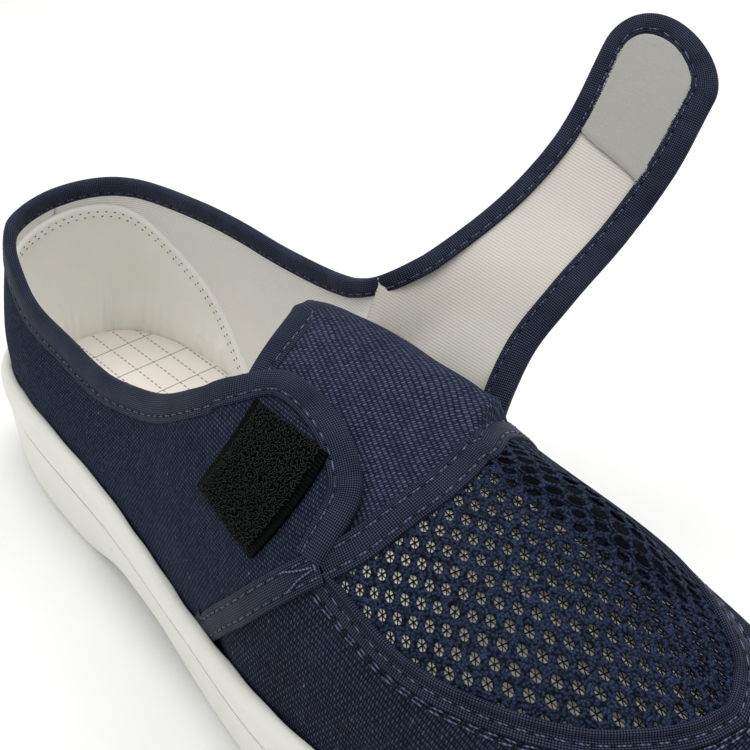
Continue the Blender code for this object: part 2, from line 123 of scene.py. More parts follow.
# Edges of the panels, as places on the upper
TAB_EDGE = (
    (5.14, 0.47), (5.18, 0.65), (5.08, 0.74), (4.80, 0.80), (4.44, 0.79), (4.12, 0.66), (3.88, 0.57),
    (3.42, 0.49), (2.86, 0.46), (2.60, 0.49), (2.32, 0.59), (1.96, 0.73), (1.60, 0.90), (1.10, 0.99),
)
COLLAR_EDGE = (
    (1.10, 0.99), (0.60, 1.00), (0.00, 1.00), (-0.60, 1.00), (-1.40, 1.00), (-2.00, 0.995),
    (-2.25, 0.97), (-2.50, 0.91), (-2.75, 0.90), (-3.03, 0.975),
)
TAPE_LINE = ((4.13, CANVAS_FOOT), (4.24, 0.005), (4.40, 0.08), (4.64, 0.19), (4.92, 0.34), (5.14, 0.47))
SEAM_LINE = (
    (5.14, 0.47), (5.29, 0.59), (5.41, 0.74), (5.50, 0.89), (5.50, 1.04), (5.27, 1.22), (5.07, 1.38),
    (4.80, 1.60),
)
TOE_LINE = (
    (5.16, 0.45), (5.68, 0.425), (6.16, 0.463), (6.68, 0.545), (7.06, 0.632), (7.40, 0.718), (7.70, 0.795),
    (8.08, 0.84), (8.50, 0.785), (8.90, 0.695), (9.30, 0.625), (9.70, 0.56), (10.20, 0.48),
    (10.75, 0.42), (11.20, 0.40),
)
STRAP_ROOT = ((12.97, 0.975), (12.52, 0.47), (12.05, 0.39), (11.70, 0.38), (11.43, 0.40))
TONGUE_TOP = (
    (4.16, 0.30), (4.15, 0.60), (4.12, 0.97), (3.92, 1.15), (3.88, 1.40), (3.86, 1.70), (3.86, 1.86),
)
HOOK_CORNERS = ((4.15, 0.36), (4.37, 0.67), (4.93, 0.70), (4.71, 0.345))
HOOK_BENDS = (0.05, 0.06)
POCKET_TOP = (
    (-2.54, -0.20), (-2.33, 0.10), (-2.06, 0.42), (-1.64, 0.68), (-1.15, 0.81), (-0.50, 0.85), (0.20, 0.84),
    (0.90, 0.80), (1.50, 0.70), (2.00, 0.50), (2.35, 0.20), (2.60, -0.20),
)

# The open strap: rear and front edge at sections from its root to its end, in mm from the back of the heel
STRAP_SECTIONS = np.array((
    ((127.8, 40.8, 83.5), (161.3, 46.8, 68.5)),
    ((132.6, 53.5, 90.2), (162.5, 58.8, 78.4)),
    ((136.7, 68.8, 100.1), (163.8, 75.9, 89.6)),
    ((138.8, 80.4, 110.6), (165.5, 89.1, 101.9)),
    ((138.1, 95.4, 128.1), (165.4, 103.4, 118.1)),
)) * MM
# Its round end, how fast the root's curve fades along it, and where the loop patch lies on it
STRAP_TIP_RADIUS = 12.4 * MM
STRAP_TIP_SLANT = 0.15
ROOT_FADE = 0.3
LOOP_START = 0.76
LOOP_SIDES = (0.15, 0.795)
LOOP_SLANT = 6 * MM
LOOP_MARGIN = 5.2 * MM

# Layers of the upper: thicknesses, and levels over the frame's outer face
CANVAS = 0.9 * MM
VAMP_LEVEL = -1.0 * MM
TONGUE_LEVEL = -3.1 * MM
TONGUE_SEAM_LEVEL = -1.7 * MM
TONGUE_THICKNESS = 1.9 * MM


def spline(knots, values, at):
    """Smooth curve through values at knots, with tangents from the neighbours."""
    knots, values, at = (np.asarray(a, float) for a in (knots, values, at))
    slopes = np.gradient(values, knots, axis=0)
    i = np.clip(np.searchsorted(knots, at) - 1, 0, len(knots) - 2)
    step = knots[i + 1] - knots[i]
    u = (at - knots[i]) / step
    if values.ndim == 2:
        step, u = step[..., None], u[..., None]
    return (
        (2 * u**3 - 3 * u**2 + 1) * values[i]
        + (u**3 - 2 * u**2 + u) * step * slopes[i]
        + (3 * u**2 - 2 * u**3) * values[i + 1]
        + (u**3 - u**2) * step * slopes[i + 1]
    )


def smoothstep(start, end, at):
    """Share from 0 to 1 between start and end, level at both."""
    u = np.clip((at - start) / (end - start), 0, 1)
    return u * u * (3 - 2 * u)


def unit(vectors):
    """The same directions with a length of 1."""
    return vectors / np.maximum(np.linalg.norm(vectors, axis=-1, keepdims=True), 1e-12)


def round_foot(values, row):
    """Smooth closed curve through one value for each section row."""
    margin = 3
    padded = np.concatenate([values[-margin:], values, values[:margin]])
    return spline(np.arange(-margin, ROWS + margin), padded, np.mod(row, ROWS))


def outline(row, inset):
    """Points of the sole's plan outline, moved inwards, and the inward directions."""
    step = 0.01
    along = round_foot(FEET, row + step) - round_foot(FEET, row - step)
    inward = unit(np.stack([-along[..., 1], along[..., 0]], axis=-1))
    return round_foot(FEET, row) + np.asarray(inset)[..., None] * inward, inward


def lip_height(x):
    """Top of the lip at a length from the back of the heel."""
    return spline(HEIGHTS[:, 0], HEIGHTS[:, 1], x / LENGTH)


def footbed_height(x):
    """Floor of the cup at a length from the back of the heel."""
    return spline(HEIGHTS[:, 0], HEIGHTS[:, 2], x / LENGTH)


def tread_height(x):
    """Flat under heel and forefoot, raised at the arch and towards the toe."""
    share = x / LENGTH
    arch = smoothstep(*ARCH_SPAN[:2], share) - smoothstep(*ARCH_SPAN[2:], share)
    return ARCH_RISE * arch + TOE_SPRING * smoothstep(*TOE_SPAN, share) ** TOE_CURVE


def rows_from_toe(row):
    """Rows from the toe tip, eased near it so that lines run smoothly across the tip."""
    away = np.abs(row - TOE_TIP)
    share = np.minimum(away / TIP_EASE, 1)
    return np.where(away < TIP_EASE, TIP_EASE * share * share * (2 - share), away)


def top_line(row):
    """Collar behind the tongue's upper edge, then the ridge of the vamp to the toe."""
    from_toe = rows_from_toe(row)
    reach = TOE_TIP - RIDGE_START
    ridge = spline(np.arange(len(RIDGE)), RIDGE, np.clip(reach - from_toe, 0, reach))
    back = np.clip(np.where(row < TOE_TIP, row, row - ROWS), -RIDGE_START, RIDGE_START)
    collar = spline(np.arange(-RIDGE_START, RIDGE_START + 1), COLLAR, back)
    return np.where((from_toe <= reach)[..., None], ridge, collar)


def ridge_slope(row):
    """Fall of the ridge for each unit of length, none behind the tongue's upper edge."""
    from_toe = rows_from_toe(row)
    reach = TOE_TIP - RIDGE_START
    step = 0.01
    s = np.clip(reach - from_toe, step, reach - step)
    ahead, behind = (spline(np.arange(len(RIDGE)), RIDGE, s + d) for d in (step, -step))
    on_ridge = 1 - smoothstep(reach, reach + 1, from_toe)
    return on_ridge * (ahead[..., 2] - behind[..., 2]) / (ahead[..., 0] - behind[..., 0])


def over_ridge(row, wall):
    """The same places, with those beyond the ridge given on the other side."""
    row, wall = np.broadcast_arrays(np.mod(row, ROWS), wall)
    beyond = (wall > 1) & (np.abs(row - TOE_TIP) < TOE_TIP - RIDGE_START + RIDGE_MARGIN)
    return np.where(beyond, ROWS - row, row), np.where(beyond, 2 - wall, np.minimum(wall, 1))


def face_points(row, wall):
    """Outer face of the upper, for places on their own side of the ridge."""
    row = np.mod(row, ROWS)
    foot, inward = outline(row, np.full_like(row, LIP_THICKNESS + GAP))
    top = top_line(row)
    rise, lean, reach, drop = np.moveaxis(round_foot(SHAPES, row), -1, 0)
    start = np.concatenate([foot, lip_height(foot[..., 0])[..., None]], axis=-1)
    tall = top[..., 2] - start[..., 2]
    up = np.concatenate([-inward * lean[..., None], rise[..., None]], axis=-1) * tall[..., None]
    away = (start - top)[..., :2]
    under_z = away[..., 0] * reach * ridge_slope(row) - drop * tall
    under = np.concatenate([away * reach[..., None], under_z[..., None]], axis=-1)
    h = np.maximum(wall, 0)[..., None]
    points = (1 - h) ** 3 * start + 3 * h * (1 - h) ** 2 * (start + up)
    points = points + 3 * h**2 * (1 - h) * (top + under) + h**3 * top
    points[..., 2] += SKIRT * np.minimum(wall, 0)
    points[..., 0] -= HEEL_CENTRE
    return points


def face_normals(row, wall):
    """Outward directions of the upper's face, for places on their own side of the ridge."""
    step = 0.01
    low, high = np.clip(wall - step, 0, 1 - step), np.clip(wall + step, step, 1)
    middle = np.clip(wall, 0, 1 - step)
    across = face_points(row, high) - face_points(row, low)
    along = face_points(row + step, middle) - face_points(row - step, middle)
    return unit(np.cross(along, across))


def upper(row, wall, lift=0.0):
    """Points over the upper, lifted outwards from the frame's face."""
    row, wall = over_ridge(np.asarray(row, float), np.asarray(wall, float))
    return face_points(row, wall) + np.asarray(lift)[..., None] * face_normals(row, wall)


def upper_normals(places):
    """Outward directions at places on the upper."""
    return face_normals(*over_ridge(places[..., 0], places[..., 1]))


def steps_of(points):
    """Length along a line of points, from 0 at its start."""
    return np.concatenate([[0], np.cumsum(np.linalg.norm(np.diff(points, axis=0), axis=1))])


def resample(values, lengths, at):
    """Values between those at given lengths along a line."""
    return np.stack([np.interp(at, lengths, values[:, k]) for k in range(values.shape[1])], axis=1)


def upper_path(rows, spacing=1.0 * MM):
    """Places along a smooth edge through the given ones, evenly spaced over the upper."""
    rows = np.array(rows, float)
    dense = spline(np.arange(len(rows)), rows, np.linspace(0, len(rows) - 1, PATH_SAMPLES * len(rows)))
    lengths = steps_of(upper(dense[:, 0], dense[:, 1]))
    count = max(2, round(lengths[-1] / spacing) + 1)
    return resample(dense, lengths, np.linspace(0, lengths[-1], count))


def beside(path, distance, lift):
    """Points at a distance to the left of a path over the upper, measured in its surface, and lifted."""
    row, wall = path[:, 0], path[:, 1]
    step = 0.002
    here = upper(row, wall)
    by_row = (upper(row + step, wall) - upper(row - step, wall)) / (2 * step)
    by_wall = (here - upper(row, wall - step)) / step
    left = unit(np.cross(upper_normals(path), unit(np.gradient(here, axis=0))))
    rr, ww, rw = ((a * b).sum(-1) for a, b in ((by_row, by_row), (by_wall, by_wall), (by_row, by_wall)))
    lr, lw = (left * by_row).sum(-1), (left * by_wall).sum(-1)
    scale = distance / (rr * ww - rw * rw)
    return upper(row + (ww * lr - rw * lw) * scale, wall + (rr * lw - rw * lr) * scale, lift)


def strip(path, profile):
    """Grid of points over a path: a row for each place, a column for each (distance, lift) of the profile."""
    return np.stack([beside(path, distance, lift) for distance, lift in profile], axis=1)


def panel(low, high, steps):
    """Places of a panel between two edges, u along them and v from the low to the high one."""
    u = np.linspace(0, 1, steps[0] + 1)
    edges = [resample(e, np.linspace(0, 1, len(e)), u) for e in (np.asarray(low), np.asarray(high))]
    v = np.linspace(0, 1, steps[1] + 1)[None, :, None]
    return edges[0][:, None] * (1 - v) + edges[1][:, None] * v


def grid_lengths(points):
    """Cloth coordinates of a grid, in metres: along its rows at the middle column, and across each row."""
    middle = points.shape[1] // 2
    along = steps_of(points[:, middle])
    across = np.stack([steps_of(row) for row in points])
    across = across - across[:, middle : middle + 1]
    return np.stack([np.broadcast_to(along[:, None], across.shape), across], axis=-1)


def grid_normals(points):
    """Directions square to a grid, on the side from which its rows and columns turn to the left."""
    return unit(np.cross(np.gradient(points, axis=0), np.gradient(points, axis=1)))


def wall_lengths(row, wall, start):
    """Length over the wall from start to each place, negative below it."""
    walls = start + (wall - start)[..., None] * np.linspace(0, 1, WALL_SAMPLES)
    points = face_points(np.broadcast_to(row[..., None], walls.shape), walls)
    return np.linalg.norm(np.diff(points, axis=-2), axis=-1).sum(-1) * np.sign(wall - start)


MID_WALL = 0.35
QUARTER_ROWS = np.linspace(-8, 8, 801)
QUARTER_LENGTHS = steps_of(face_points(QUARTER_ROWS, np.full_like(QUARTER_ROWS, MID_WALL)))
RIDGE_STEPS = np.linspace(0, TOE_TIP - RIDGE_START, 201)
RIDGE_LENGTHS = steps_of(face_points(RIDGE_START + RIDGE_STEPS, np.ones_like(RIDGE_STEPS)))


def quarter_cloth(places):
    """Cloth coordinates of the quarters: threads along the sole and up the wall."""
    along = np.interp(places[..., 0], QUARTER_ROWS, QUARTER_LENGTHS)
    return np.stack([along, wall_lengths(places[..., 0], places[..., 1], 0.0)], axis=-1)


def vamp_cloth(places):
    """Cloth coordinates of vamp and tongue: the cloth laid flat from the ridge outwards."""
    row, wall = over_ridge(places[..., 0], places[..., 1])
    along = np.interp(TOE_TIP - RIDGE_START - np.abs(row - TOE_TIP), RIDGE_STEPS, RIDGE_LENGTHS)
    outwards = unit(round_foot(FEET, row) - top_line(row)[..., :2])
    flat = outwards * -wall_lengths(row, wall, 1.0)[..., None]
    flat[..., 0] += along
    return flat


def linear(hex_colour):
    """Linear colour of an sRGB hex value."""
    values = [int(hex_colour[i : i + 2], 16) / 255 for i in (1, 3, 5)]
    return (*(v / 12.92 if v <= 0.04045 else ((v + 0.055) / 1.055) ** 2.4 for v in values), 1.0)


def connect(material, value, socket):
    """Links a socket to an input, or sets the input to a value or to a hex colour."""
    if isinstance(value, bpy.types.NodeSocket):
        material.node_tree.links.new(value, socket)
    else:
        socket.default_value = linear(value) if isinstance(value, str) else value


def add_node(material, kind, *inputs, output=None, **settings):
    """Adds a shader node and gives the named output, or else its first one.

    Inputs come in order, or by name with a capital letter.
    """
    node = material.node_tree.nodes.new("ShaderNode" + kind)
    for name, value in settings.items():
        if name[0].islower():
            setattr(node, name, value)
    shown = [socket for socket in node.inputs if socket.enabled]
    for socket, value in zip(shown, inputs):
        connect(material, value, socket)
    for name, value in settings.items():
        if name[0].isupper():
            connect(material, value, node.inputs[name])
    if output is not None:
        return node.outputs[output]
    return [socket for socket in node.outputs if socket.enabled][0]


def new_material(name):
    """An empty Principled material, and the function that adds nodes to it."""
    material = bpy.data.materials.new(name)
    material.use_nodes = True
    return material, functools.partial(add_node, material)


def dress(material, **sockets):
    """Sets or links the inputs of a material's Principled shader."""
    shader = material.node_tree.nodes["Principled BSDF"]
    for name, value in sockets.items():
        connect(material, value, shader.inputs[name.replace("_", " ")])
    return material


def cloth_threads(add, wander, reach):
    """The piece's own cloth coordinates in metres, plain, and with threads that wander a little."""
    uv = add("UVMap", uv_map="cloth")
    drift = add("TexNoise", Vector=uv, Scale=1 / reach, Detail=1.0, noise_dimensions="2D", output="Color")
    return uv, add("VectorMath", drift, (wander, wander, 0.0), uv, operation="MULTIPLY_ADD")


def thread_wave(add, vector, spacing, axis):
    """Wave across threads of a spacing, 0 in each gap and plus or minus 1 on every other thread."""
    part = add("SeparateXYZ", vector, output=axis)
    turn = add("Math", part, math.pi / spacing, operation="MULTIPLY")
    return add("Math", turn, operation="SINE")


def ribs(add, vector, spacing, axis):
    """Rounded ribs, 0 in their gaps and 1 on top."""
    return add("Math", thread_wave(add, vector, spacing, axis), operation="ABSOLUTE")


def canvas(name, warp, weft, gap, thread, relief):
    """Cotton canvas, plain woven from spun yarn.

    It gives the eye slanting rows of matt pillows with dark gaps, a few slubby yarns and specks of lint. The
    yarns are drawn coarser than real ones, so that they show.
    """
    material, add = new_material(name)
    uv, threads = cloth_threads(add, 0.35 * MM, 5 * MM)
    waves = [thread_wave(add, threads, warp, 0), thread_wave(add, threads, weft, 1)]
    over = add("Math", *waves, operation="MULTIPLY")
    under = add("Math", over, -0.35, operation="MULTIPLY")
    pillow = add("Math", over, under, operation="MAXIMUM")
    pillow = add("Math", pillow, 0.8, operation="POWER")
    streaks = add("VectorMath", threads, (1 / (7 * MM), 1 / weft, 1.0), operation="MULTIPLY")
    slub = add("TexNoise", Vector=streaks, Scale=1.0, Detail=2.0, noise_dimensions="2D")
    cloud = add("TexNoise", Vector=uv, Scale=1 / (16 * MM), Detail=3.0, noise_dimensions="2D")
    tone = add("Math", slub, cloud, operation="ADD")
    cells = add("VectorMath", threads, (1 / warp, 1 / weft, 1.0), operation="MULTIPLY")
    cell = add("VectorMath", cells, operation="FLOOR")
    chosen = add("TexWhiteNoise", Vector=cell, noise_dimensions="2D")
    odd = add("Math", chosen, 0.7, 0.65, operation="MULTIPLY_ADD")
    tone = add("Math", tone, 0.5, 0.5, operation="MULTIPLY_ADD")
    tone = add("Math", tone, odd, operation="MULTIPLY")
    # The colour follows the pillows' height: the thread's own colour on top, painted shade in the gaps
    tone = add("Math", tone, pillow, operation="MULTIPLY")
    colour = add("Mix", tone, gap, thread, data_type="RGBA")
    lint = add("MapRange", chosen, 0.996, 0.999, 0.0, 0.6)
    lint = add("Math", lint, pillow, operation="MULTIPLY")
    colour = add("Mix", lint, colour, "#8f95a5", data_type="RGBA")
    bump = add("Bump", Height=pillow, Distance=relief, Strength=1.0)
    return dress(material, Base_Color=colour, Normal=bump, Roughness=0.95, IOR=1.45, Specular_IOR_Level=0.06)


def grosgrain():
    """Polyester grosgrain tape, slate navy: a fine net of ribs and picks whose soft sheen is mostly a painted
    highlight.

    The ribs are drawn a little coarser than real ones, so that they show.
    """
    material, add = new_material("grosgrain_tape")
    uv, threads = cloth_threads(add, 0.12 * MM, 3 * MM)
    net = [ribs(add, threads, 0.57 * MM, 0), ribs(add, threads, 0.50 * MM, 1)]
    pick = add("Math", *net, operation="MULTIPLY")
    cloud = add("TexNoise", Vector=uv, Scale=1 / (9 * MM), Detail=3.0, noise_dimensions="2D")
    tone = add("Math", cloud, 0.5, operation="ADD")
    # The colour follows the picks: painted highlight on their tops and painted shade near black between them
    tone = add("Math", pick, tone, operation="MULTIPLY")
    colour = add("Mix", tone, "#020306", "#4c546e", data_type="RGBA")
    bump = add("Bump", Height=pick, Distance=0.3 * MM, Strength=1.0)
    return dress(material, Base_Color=colour, Normal=bump, Roughness=0.5, IOR=1.5, Specular_IOR_Level=0.07)


def sewing_thread(name, low, high):
    """Twisted polyester thread: a slight shine and fine slanting plies."""
    material, add = new_material(name)
    place = add("TexCoord", output="Object")
    twist = {"Scale": 1 / (2.4 * MM), "Distortion": 1.5, "bands_direction": "DIAGONAL"}
    plies = add("TexWave", Vector=place, output="Fac", **twist)
    colour = add("Mix", plies, low, high, data_type="RGBA")
    bump = add("Bump", Height=plies, Distance=0.08 * MM, Strength=0.8)
    return dress(material, Base_Color=colour, Normal=bump, Roughness=0.5, IOR=1.5, Specular_IOR_Level=0.25)


def lining_cloth(name, low, high):
    """White polyester lining: fine lines of dots along the shoe, with faint warm clouds between them."""
    material, add = new_material(name)
    uv, threads = cloth_threads(add, 0.3 * MM, 9 * MM)
    rib = ribs(add, threads, 0.75 * MM, 1)
    dots = ribs(add, threads, 0.8 * MM, 0)
    cloud = add("TexNoise", Vector=uv, Scale=1 / (30 * MM), Detail=4.0, noise_dimensions="2D")
    ground = add("Mix", cloud, low, high, data_type="RGBA")
    line = add("MapRange", rib, 0.0, 0.6, 0.55, 0.0)
    dots = add("Math", dots, 0.5, 0.5, operation="MULTIPLY_ADD")
    line = add("Math", line, dots, operation="MULTIPLY")
    colour = add("Mix", line, ground, "#9a9084", data_type="RGBA")
    bump = add("Bump", Height=line, Distance=0.15 * MM, Strength=0.8, invert=True)
    dress(material, Base_Color=colour, Normal=bump, Roughness=0.8, IOR=1.45)
    return dress(material, Specular_IOR_Level=0.25, Sheen_Weight=0.05)


def coated_sheet():
    """Heel pocket of white coated nylon: smooth and half glossy, with shallow creases."""
    material, add = new_material("coated_nylon")
    place = add("TexCoord", output="Object")
    folds = add("TexNoise", Vector=place, Scale=1 / (18 * MM), Detail=2.0, Distortion=0.8)
    skin = add("TexNoise", Vector=place, Scale=1 / (1.1 * MM), Detail=2.0)
    relief = add("Math", skin, 0.06, folds, operation="MULTIPLY_ADD")
    colour = add("Mix", folds, "#f3f3ec", "#fcfcf7", data_type="RGBA")
    bump = add("Bump", Height=relief, Distance=1.6 * MM, Strength=0.6)
    return dress(material, Base_Color=colour, Normal=bump, Roughness=0.3, IOR=1.5, Specular_IOR_Level=0.5)


def insole_cloth():
    """Pinkish white insole cloth with conductive yarns woven in: dashed ones along it, plain ones across."""
    material, add = new_material("insole_cloth")
    place = add("TexCoord", output="Object")
    parts = add("SeparateXYZ", place).node.outputs

    def yarn(coordinate, spacing, width):
        near = add("Math", coordinate, spacing / 2, operation="PINGPONG")
        return add("MapRange", near, 0.3 * width, 0.7 * width, 1.0, 0.0)

    dash = yarn(parts["X"], 2.2 * MM, 1.3 * MM)
    lengthwise = add("Math", yarn(parts["Y"], 6.2 * MM, 0.5 * MM), dash, operation="MULTIPLY")
    grid = add("Math", lengthwise, yarn(parts["X"], 15 * MM, 0.45 * MM), operation="MAXIMUM")
    yarns = add("Math", grid, 0.75, operation="MULTIPLY")
    weave = add("TexNoise", Vector=place, Scale=1 / (0.9 * MM), Detail=2.0)
    cloud = add("TexNoise", Vector=place, Scale=1 / (25 * MM), Detail=3.0)
    ground = add("Mix", weave, "#f6efe7", "#fcf7f1", data_type="RGBA")
    ground = add("Mix", cloud, ground, "#f3ebe2", data_type="RGBA")
    colour = add("Mix", yarns, ground, "#6f6c6d", data_type="RGBA")
    bump = add("Bump", Height=weave, Distance=0.15 * MM, Strength=0.6)
    dress(material, Base_Color=colour, Normal=bump, Roughness=0.85, IOR=1.45)
    return dress(material, Specular_IOR_Level=0.25, Sheen_Weight=0.05)


def moulded_sole():
    """Injection moulded white PVC: satin skin, faint flow clouds and a few specks of dirt."""
    material, add = new_material("moulded_pvc")
    place = add("TexCoord", output="Object")
    flow = add("TexNoise", Vector=place, Scale=1 / (22 * MM), Detail=4.0, Roughness=0.6)
    skin = add("TexNoise", Vector=place, Scale=1 / (1.4 * MM), Detail=3.0)
    ground = add("Mix", flow, "#e5e5db", "#f0f0e8", data_type="RGBA")
    specks = add("TexVoronoi", Vector=place, Scale=1 / (13 * MM), feature="F1")
    speck = add("MapRange", specks, 0.02, 0.05, 0.35, 0.0)
    colour = add("Mix", speck, ground, "#a7a496", data_type="RGBA")
    rough = add("Math", skin, 0.2, 0.36, operation="MULTIPLY_ADD")
    bump = add("Bump", Height=skin, Distance=0.12 * MM, Strength=0.5)
    return dress(material, Base_Color=colour, Normal=bump, Roughness=rough, IOR=1.53)


def mesh_knit(name, low, high):
    """Knitted polyester spacer mesh: navy filament yarns with brighter blue loops and deep gaps between them.

    The loops are drawn coarser than real ones, so that they show.
    """
    material, add = new_material(name)
    place = add("TexCoord", output="Object")
    loops = add("TexVoronoi", Vector=place, Scale=1 / (0.6 * MM), feature="F1")
    yarn = add("TexNoise", Vector=place, Scale=1 / (1.6 * MM), Detail=3.0)
    height = add("Math", 1.0, loops, operation="SUBTRACT")
    # The colour follows the loops' height: the yarn's blue on their tops, painted shade near black in the
    # gaps
    tone = add("MapRange", height, 0.25, 0.95, 0.0, 1.6)
    tone = add("Math", tone, yarn, operation="MULTIPLY")
    colour = add("Mix", tone, low, high, data_type="RGBA")
    bump = add("Bump", Height=height, Distance=0.35 * MM, Strength=1.0)
    return dress(material, Base_Color=colour, Normal=bump, Roughness=0.6, IOR=1.5, Specular_IOR_Level=0.06)


def fuzzy(name, low, high, size, relief, roughness, gloss):
    """Close nap of filaments: uneven tone and a rough, matt surface."""
    material, add = new_material(name)
    place = add("TexCoord", output="Object")
    nap = add("TexNoise", Vector=place, Scale=1 / size, Detail=5.0, Roughness=0.7)
    colour = add("Mix", nap, low, high, data_type="RGBA")
    bump = add("Bump", Height=nap, Distance=relief, Strength=0.9)
    dress(material, Base_Color=colour, Normal=bump)
    return dress(material, Roughness=roughness, IOR=1.5, Specular_IOR_Level=gloss)


def ribbed_tape(name, low, high, spacing):
    """Woven nylon base of a fastening patch, with ribs across its selvages."""
    material, add = new_material(name)
    threads = cloth_threads(add, 0.1 * MM, 3 * MM)[1]
    rib = ribs(add, threads, spacing, 0)
    colour = add("Mix", rib, low, high, data_type="RGBA")
    bump = add("Bump", Height=rib, Distance=0.25 * MM, Strength=1.0)
    return dress(material, Base_Color=colour, Normal=bump, Roughness=0.55, IOR=1.5, Specular_IOR_Level=0.04)


FINE_CANVAS = canvas("fine_navy_canvas", 0.55 * MM, 0.88 * MM, "#0b0e16", "#4a536f", 0.4 * MM)
COARSE_CANVAS = canvas("coarse_navy_canvas", 0.60 * MM, 1.23 * MM, "#090c13", "#485069", 0.5 * MM)
# The coarse canvas again, with lighter threads as painted light where the tongue faces up
LIT_TONGUE_CANVAS = canvas("coarse_canvas_painted_light_on_tongue", 0.60 * MM, 1.23 * MM, "#0b0e19", "#5c6482", 0.5 * MM)
GROSGRAIN = grosgrain()
THREAD = sewing_thread("navy_sewing_thread", "#1b2030", "#5d6682")
PALE_THREAD = sewing_thread("slate_sewing_thread", "#2a2f44", "#666e8c")
# Painted shade: dark dashes in the needle holes between stitches
NEEDLE_SHADE = sewing_thread("needle_hole_shade_in_navy", "#030406", "#0a0c12")
# Painted shade in the needle holes of the white pocket hem
HOLE_DARK = sewing_thread("needle_hole_shade", "#3a3a35", "#5a5a52")
LINING = lining_cloth("quarter_lining_cloth", "#f0f0eb", "#f9f8f4")
# The same white lining cloth, made darker on the strap as painted shade
SHADED_STRAP_LINING = lining_cloth("lining_cloth_painted_shade_on_strap", "#cfcac0", "#dfdbd3")
POCKET = coated_sheet()
INSOLE = insole_cloth()
SOLE = moulded_sole()
MESH = mesh_knit("blue_spacer_mesh", "#060a12", "#374766")
MESH_YARN = mesh_knit("navy_mesh_yarn", "#060912", "#16223a")
MESH_BACKING = fuzzy("cream_mesh_backing", "#e8e5d4", "#fffdf2", 1.2 * MM, 0.3 * MM, 0.95, 0.2)
# Painted shade: a dark sheet under the open mesh, so that its holes look shaded
MESH_PAINTED_SHADE = fuzzy("painted_shade_navy_under_mesh", "#05070d", "#10151f", 1.5 * MM, 0.3 * MM, 0.95, 0.1)
HOOK_TAPE = ribbed_tape("black_hook_tape", "#010101", "#030404", 0.85 * MM)
HOOK_FILAMENT = fuzzy("black_hook_filament", "#010101", "#3c4040", 0.6 * MM, 0.05 * MM, 0.3, 0.06)
# Grey-white loop nylon, made darker still as painted shade where the strap's tip bends away
SHADED_LOOP_NAP = fuzzy("white_loop_nap_painted_shade", "#a2a19c", "#b4b3ae", 0.35 * MM, 0.1 * MM, 1.0, 0.1)
LOOP_FIBRE = fuzzy("white_loop_fibre", "#cfcfcb", "#eeeeea", 0.3 * MM, 0.05 * MM, 0.6, 0.4)


def finish_piece(name, bm, material, *nodes, thickness=0.0, smooth_levels=0):
    """Turns a bmesh into a piece of the shoe that stands for its frame nodes."""
    mesh = bpy.data.meshes.new(name)
    bm.to_mesh(mesh)
    bm.free()
    mesh.materials.append(material)
    mesh.shade_smooth()
    piece = bpy.data.objects.new(name, mesh)
    bpy.context.scene.collection.objects.link(piece)
    if thickness:
        wall = piece.modifiers.new("wall", "SOLIDIFY")
        wall.thickness = thickness
        wall.offset = -1
    if smooth_levels:
        rounding = piece.modifiers.new("rounding", "SUBSURF")
        rounding.levels = smooth_levels
        rounding.render_levels = smooth_levels
    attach(piece, "root")
    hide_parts(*nodes)


def laid_grid(points, cloth, facing=None, weld=False):
    """A grid of faces laid through points, turned to face the given way. Its UV is in metres of cloth."""
    rows, columns = points.shape[:2]
    bm = bmesh.new()
    bmesh.ops.create_grid(bm, x_segments=rows - 1, y_segments=columns - 1, size=0.5)
    uv_layer = bm.loops.layers.uv.new("cloth")
    spots = {}
    for vertex in bm.verts:
        i = round((vertex.co.x + 0.5) * (rows - 1))
        j = round((vertex.co.y + 0.5) * (columns - 1))
        vertex.co = points[i, j]
        spots[vertex] = cloth[i, j]
    for face in bm.faces:
        for loop in face.loops:
            loop[uv_layer].uv = spots[loop.vert]
    if facing is not None and (grid_normals(points) * facing).sum() < 0:
        bmesh.ops.reverse_faces(bm, faces=bm.faces)
    if weld:
        bmesh.ops.remove_doubles(bm, verts=bm.verts, dist=0.005 * MM)
        bmesh.ops.recalc_face_normals(bm, faces=bm.faces)
    return bm


def add_cloth(name, points, facing, material, *nodes, thickness=0.0):
    """A strip or patch through a grid of points, with its threads along the rows."""
    bm = laid_grid(points, grid_lengths(points), facing)
    finish_piece(name, bm, material, *nodes, thickness=thickness)


STITCH_PITCH = 3.6 * MM
STITCH_LENGTH = 2.8 * MM
STITCH_RADIUS = 0.21 * MM
NEEDLE_LENGTH = 0.9 * MM
NEEDLE_RADIUS = 0.28 * MM
STITCH_RAISE = 0.1 * MM
chance = np.random.default_rng(7)


def frames(centres, forwards, ups, sizes):
    """4x4 places with their x axis forwards and their z axis up, each axis scaled by its size."""
    forwards = unit(forwards)
    sides = unit(np.cross(ups, forwards))
    ups = np.cross(forwards, sides)
    places = np.zeros((len(centres), 4, 4))
    axes = np.stack([forwards, sides, ups], axis=-1)
    places[:, :3, :3] = axes * np.broadcast_to(sizes, (len(centres), 3))[:, None, :]
    places[:, :3, 3] = centres
    return places


def repeated(shape, places):
    """Copies of a small shape, one at each of the places."""
    mesh = bpy.data.meshes.new("shape")
    shape.to_mesh(mesh)
    shape.free()
    bm = bmesh.new()
    bm.from_mesh(mesh)
    bpy.data.meshes.remove(mesh)
    base = np.array([(*v.co, 1.0) for v in bm.verts])
    counts = [len(bm.verts), len(bm.edges), len(bm.faces)]
    copies = 1
    while copies < len(places):
        more = min(copies, len(places) - copies)
        parts = [part[: more * count] for part, count in zip((bm.verts, bm.edges, bm.faces), counts)]
        bmesh.ops.duplicate(bm, geom=parts[0] + parts[1] + parts[2])
        copies += more
    points = np.einsum("nij,vj->nvi", places, base)[..., :3].reshape(-1, 3)
    for vertex, point in zip(bm.verts, points):
        vertex.co = point
    return bm


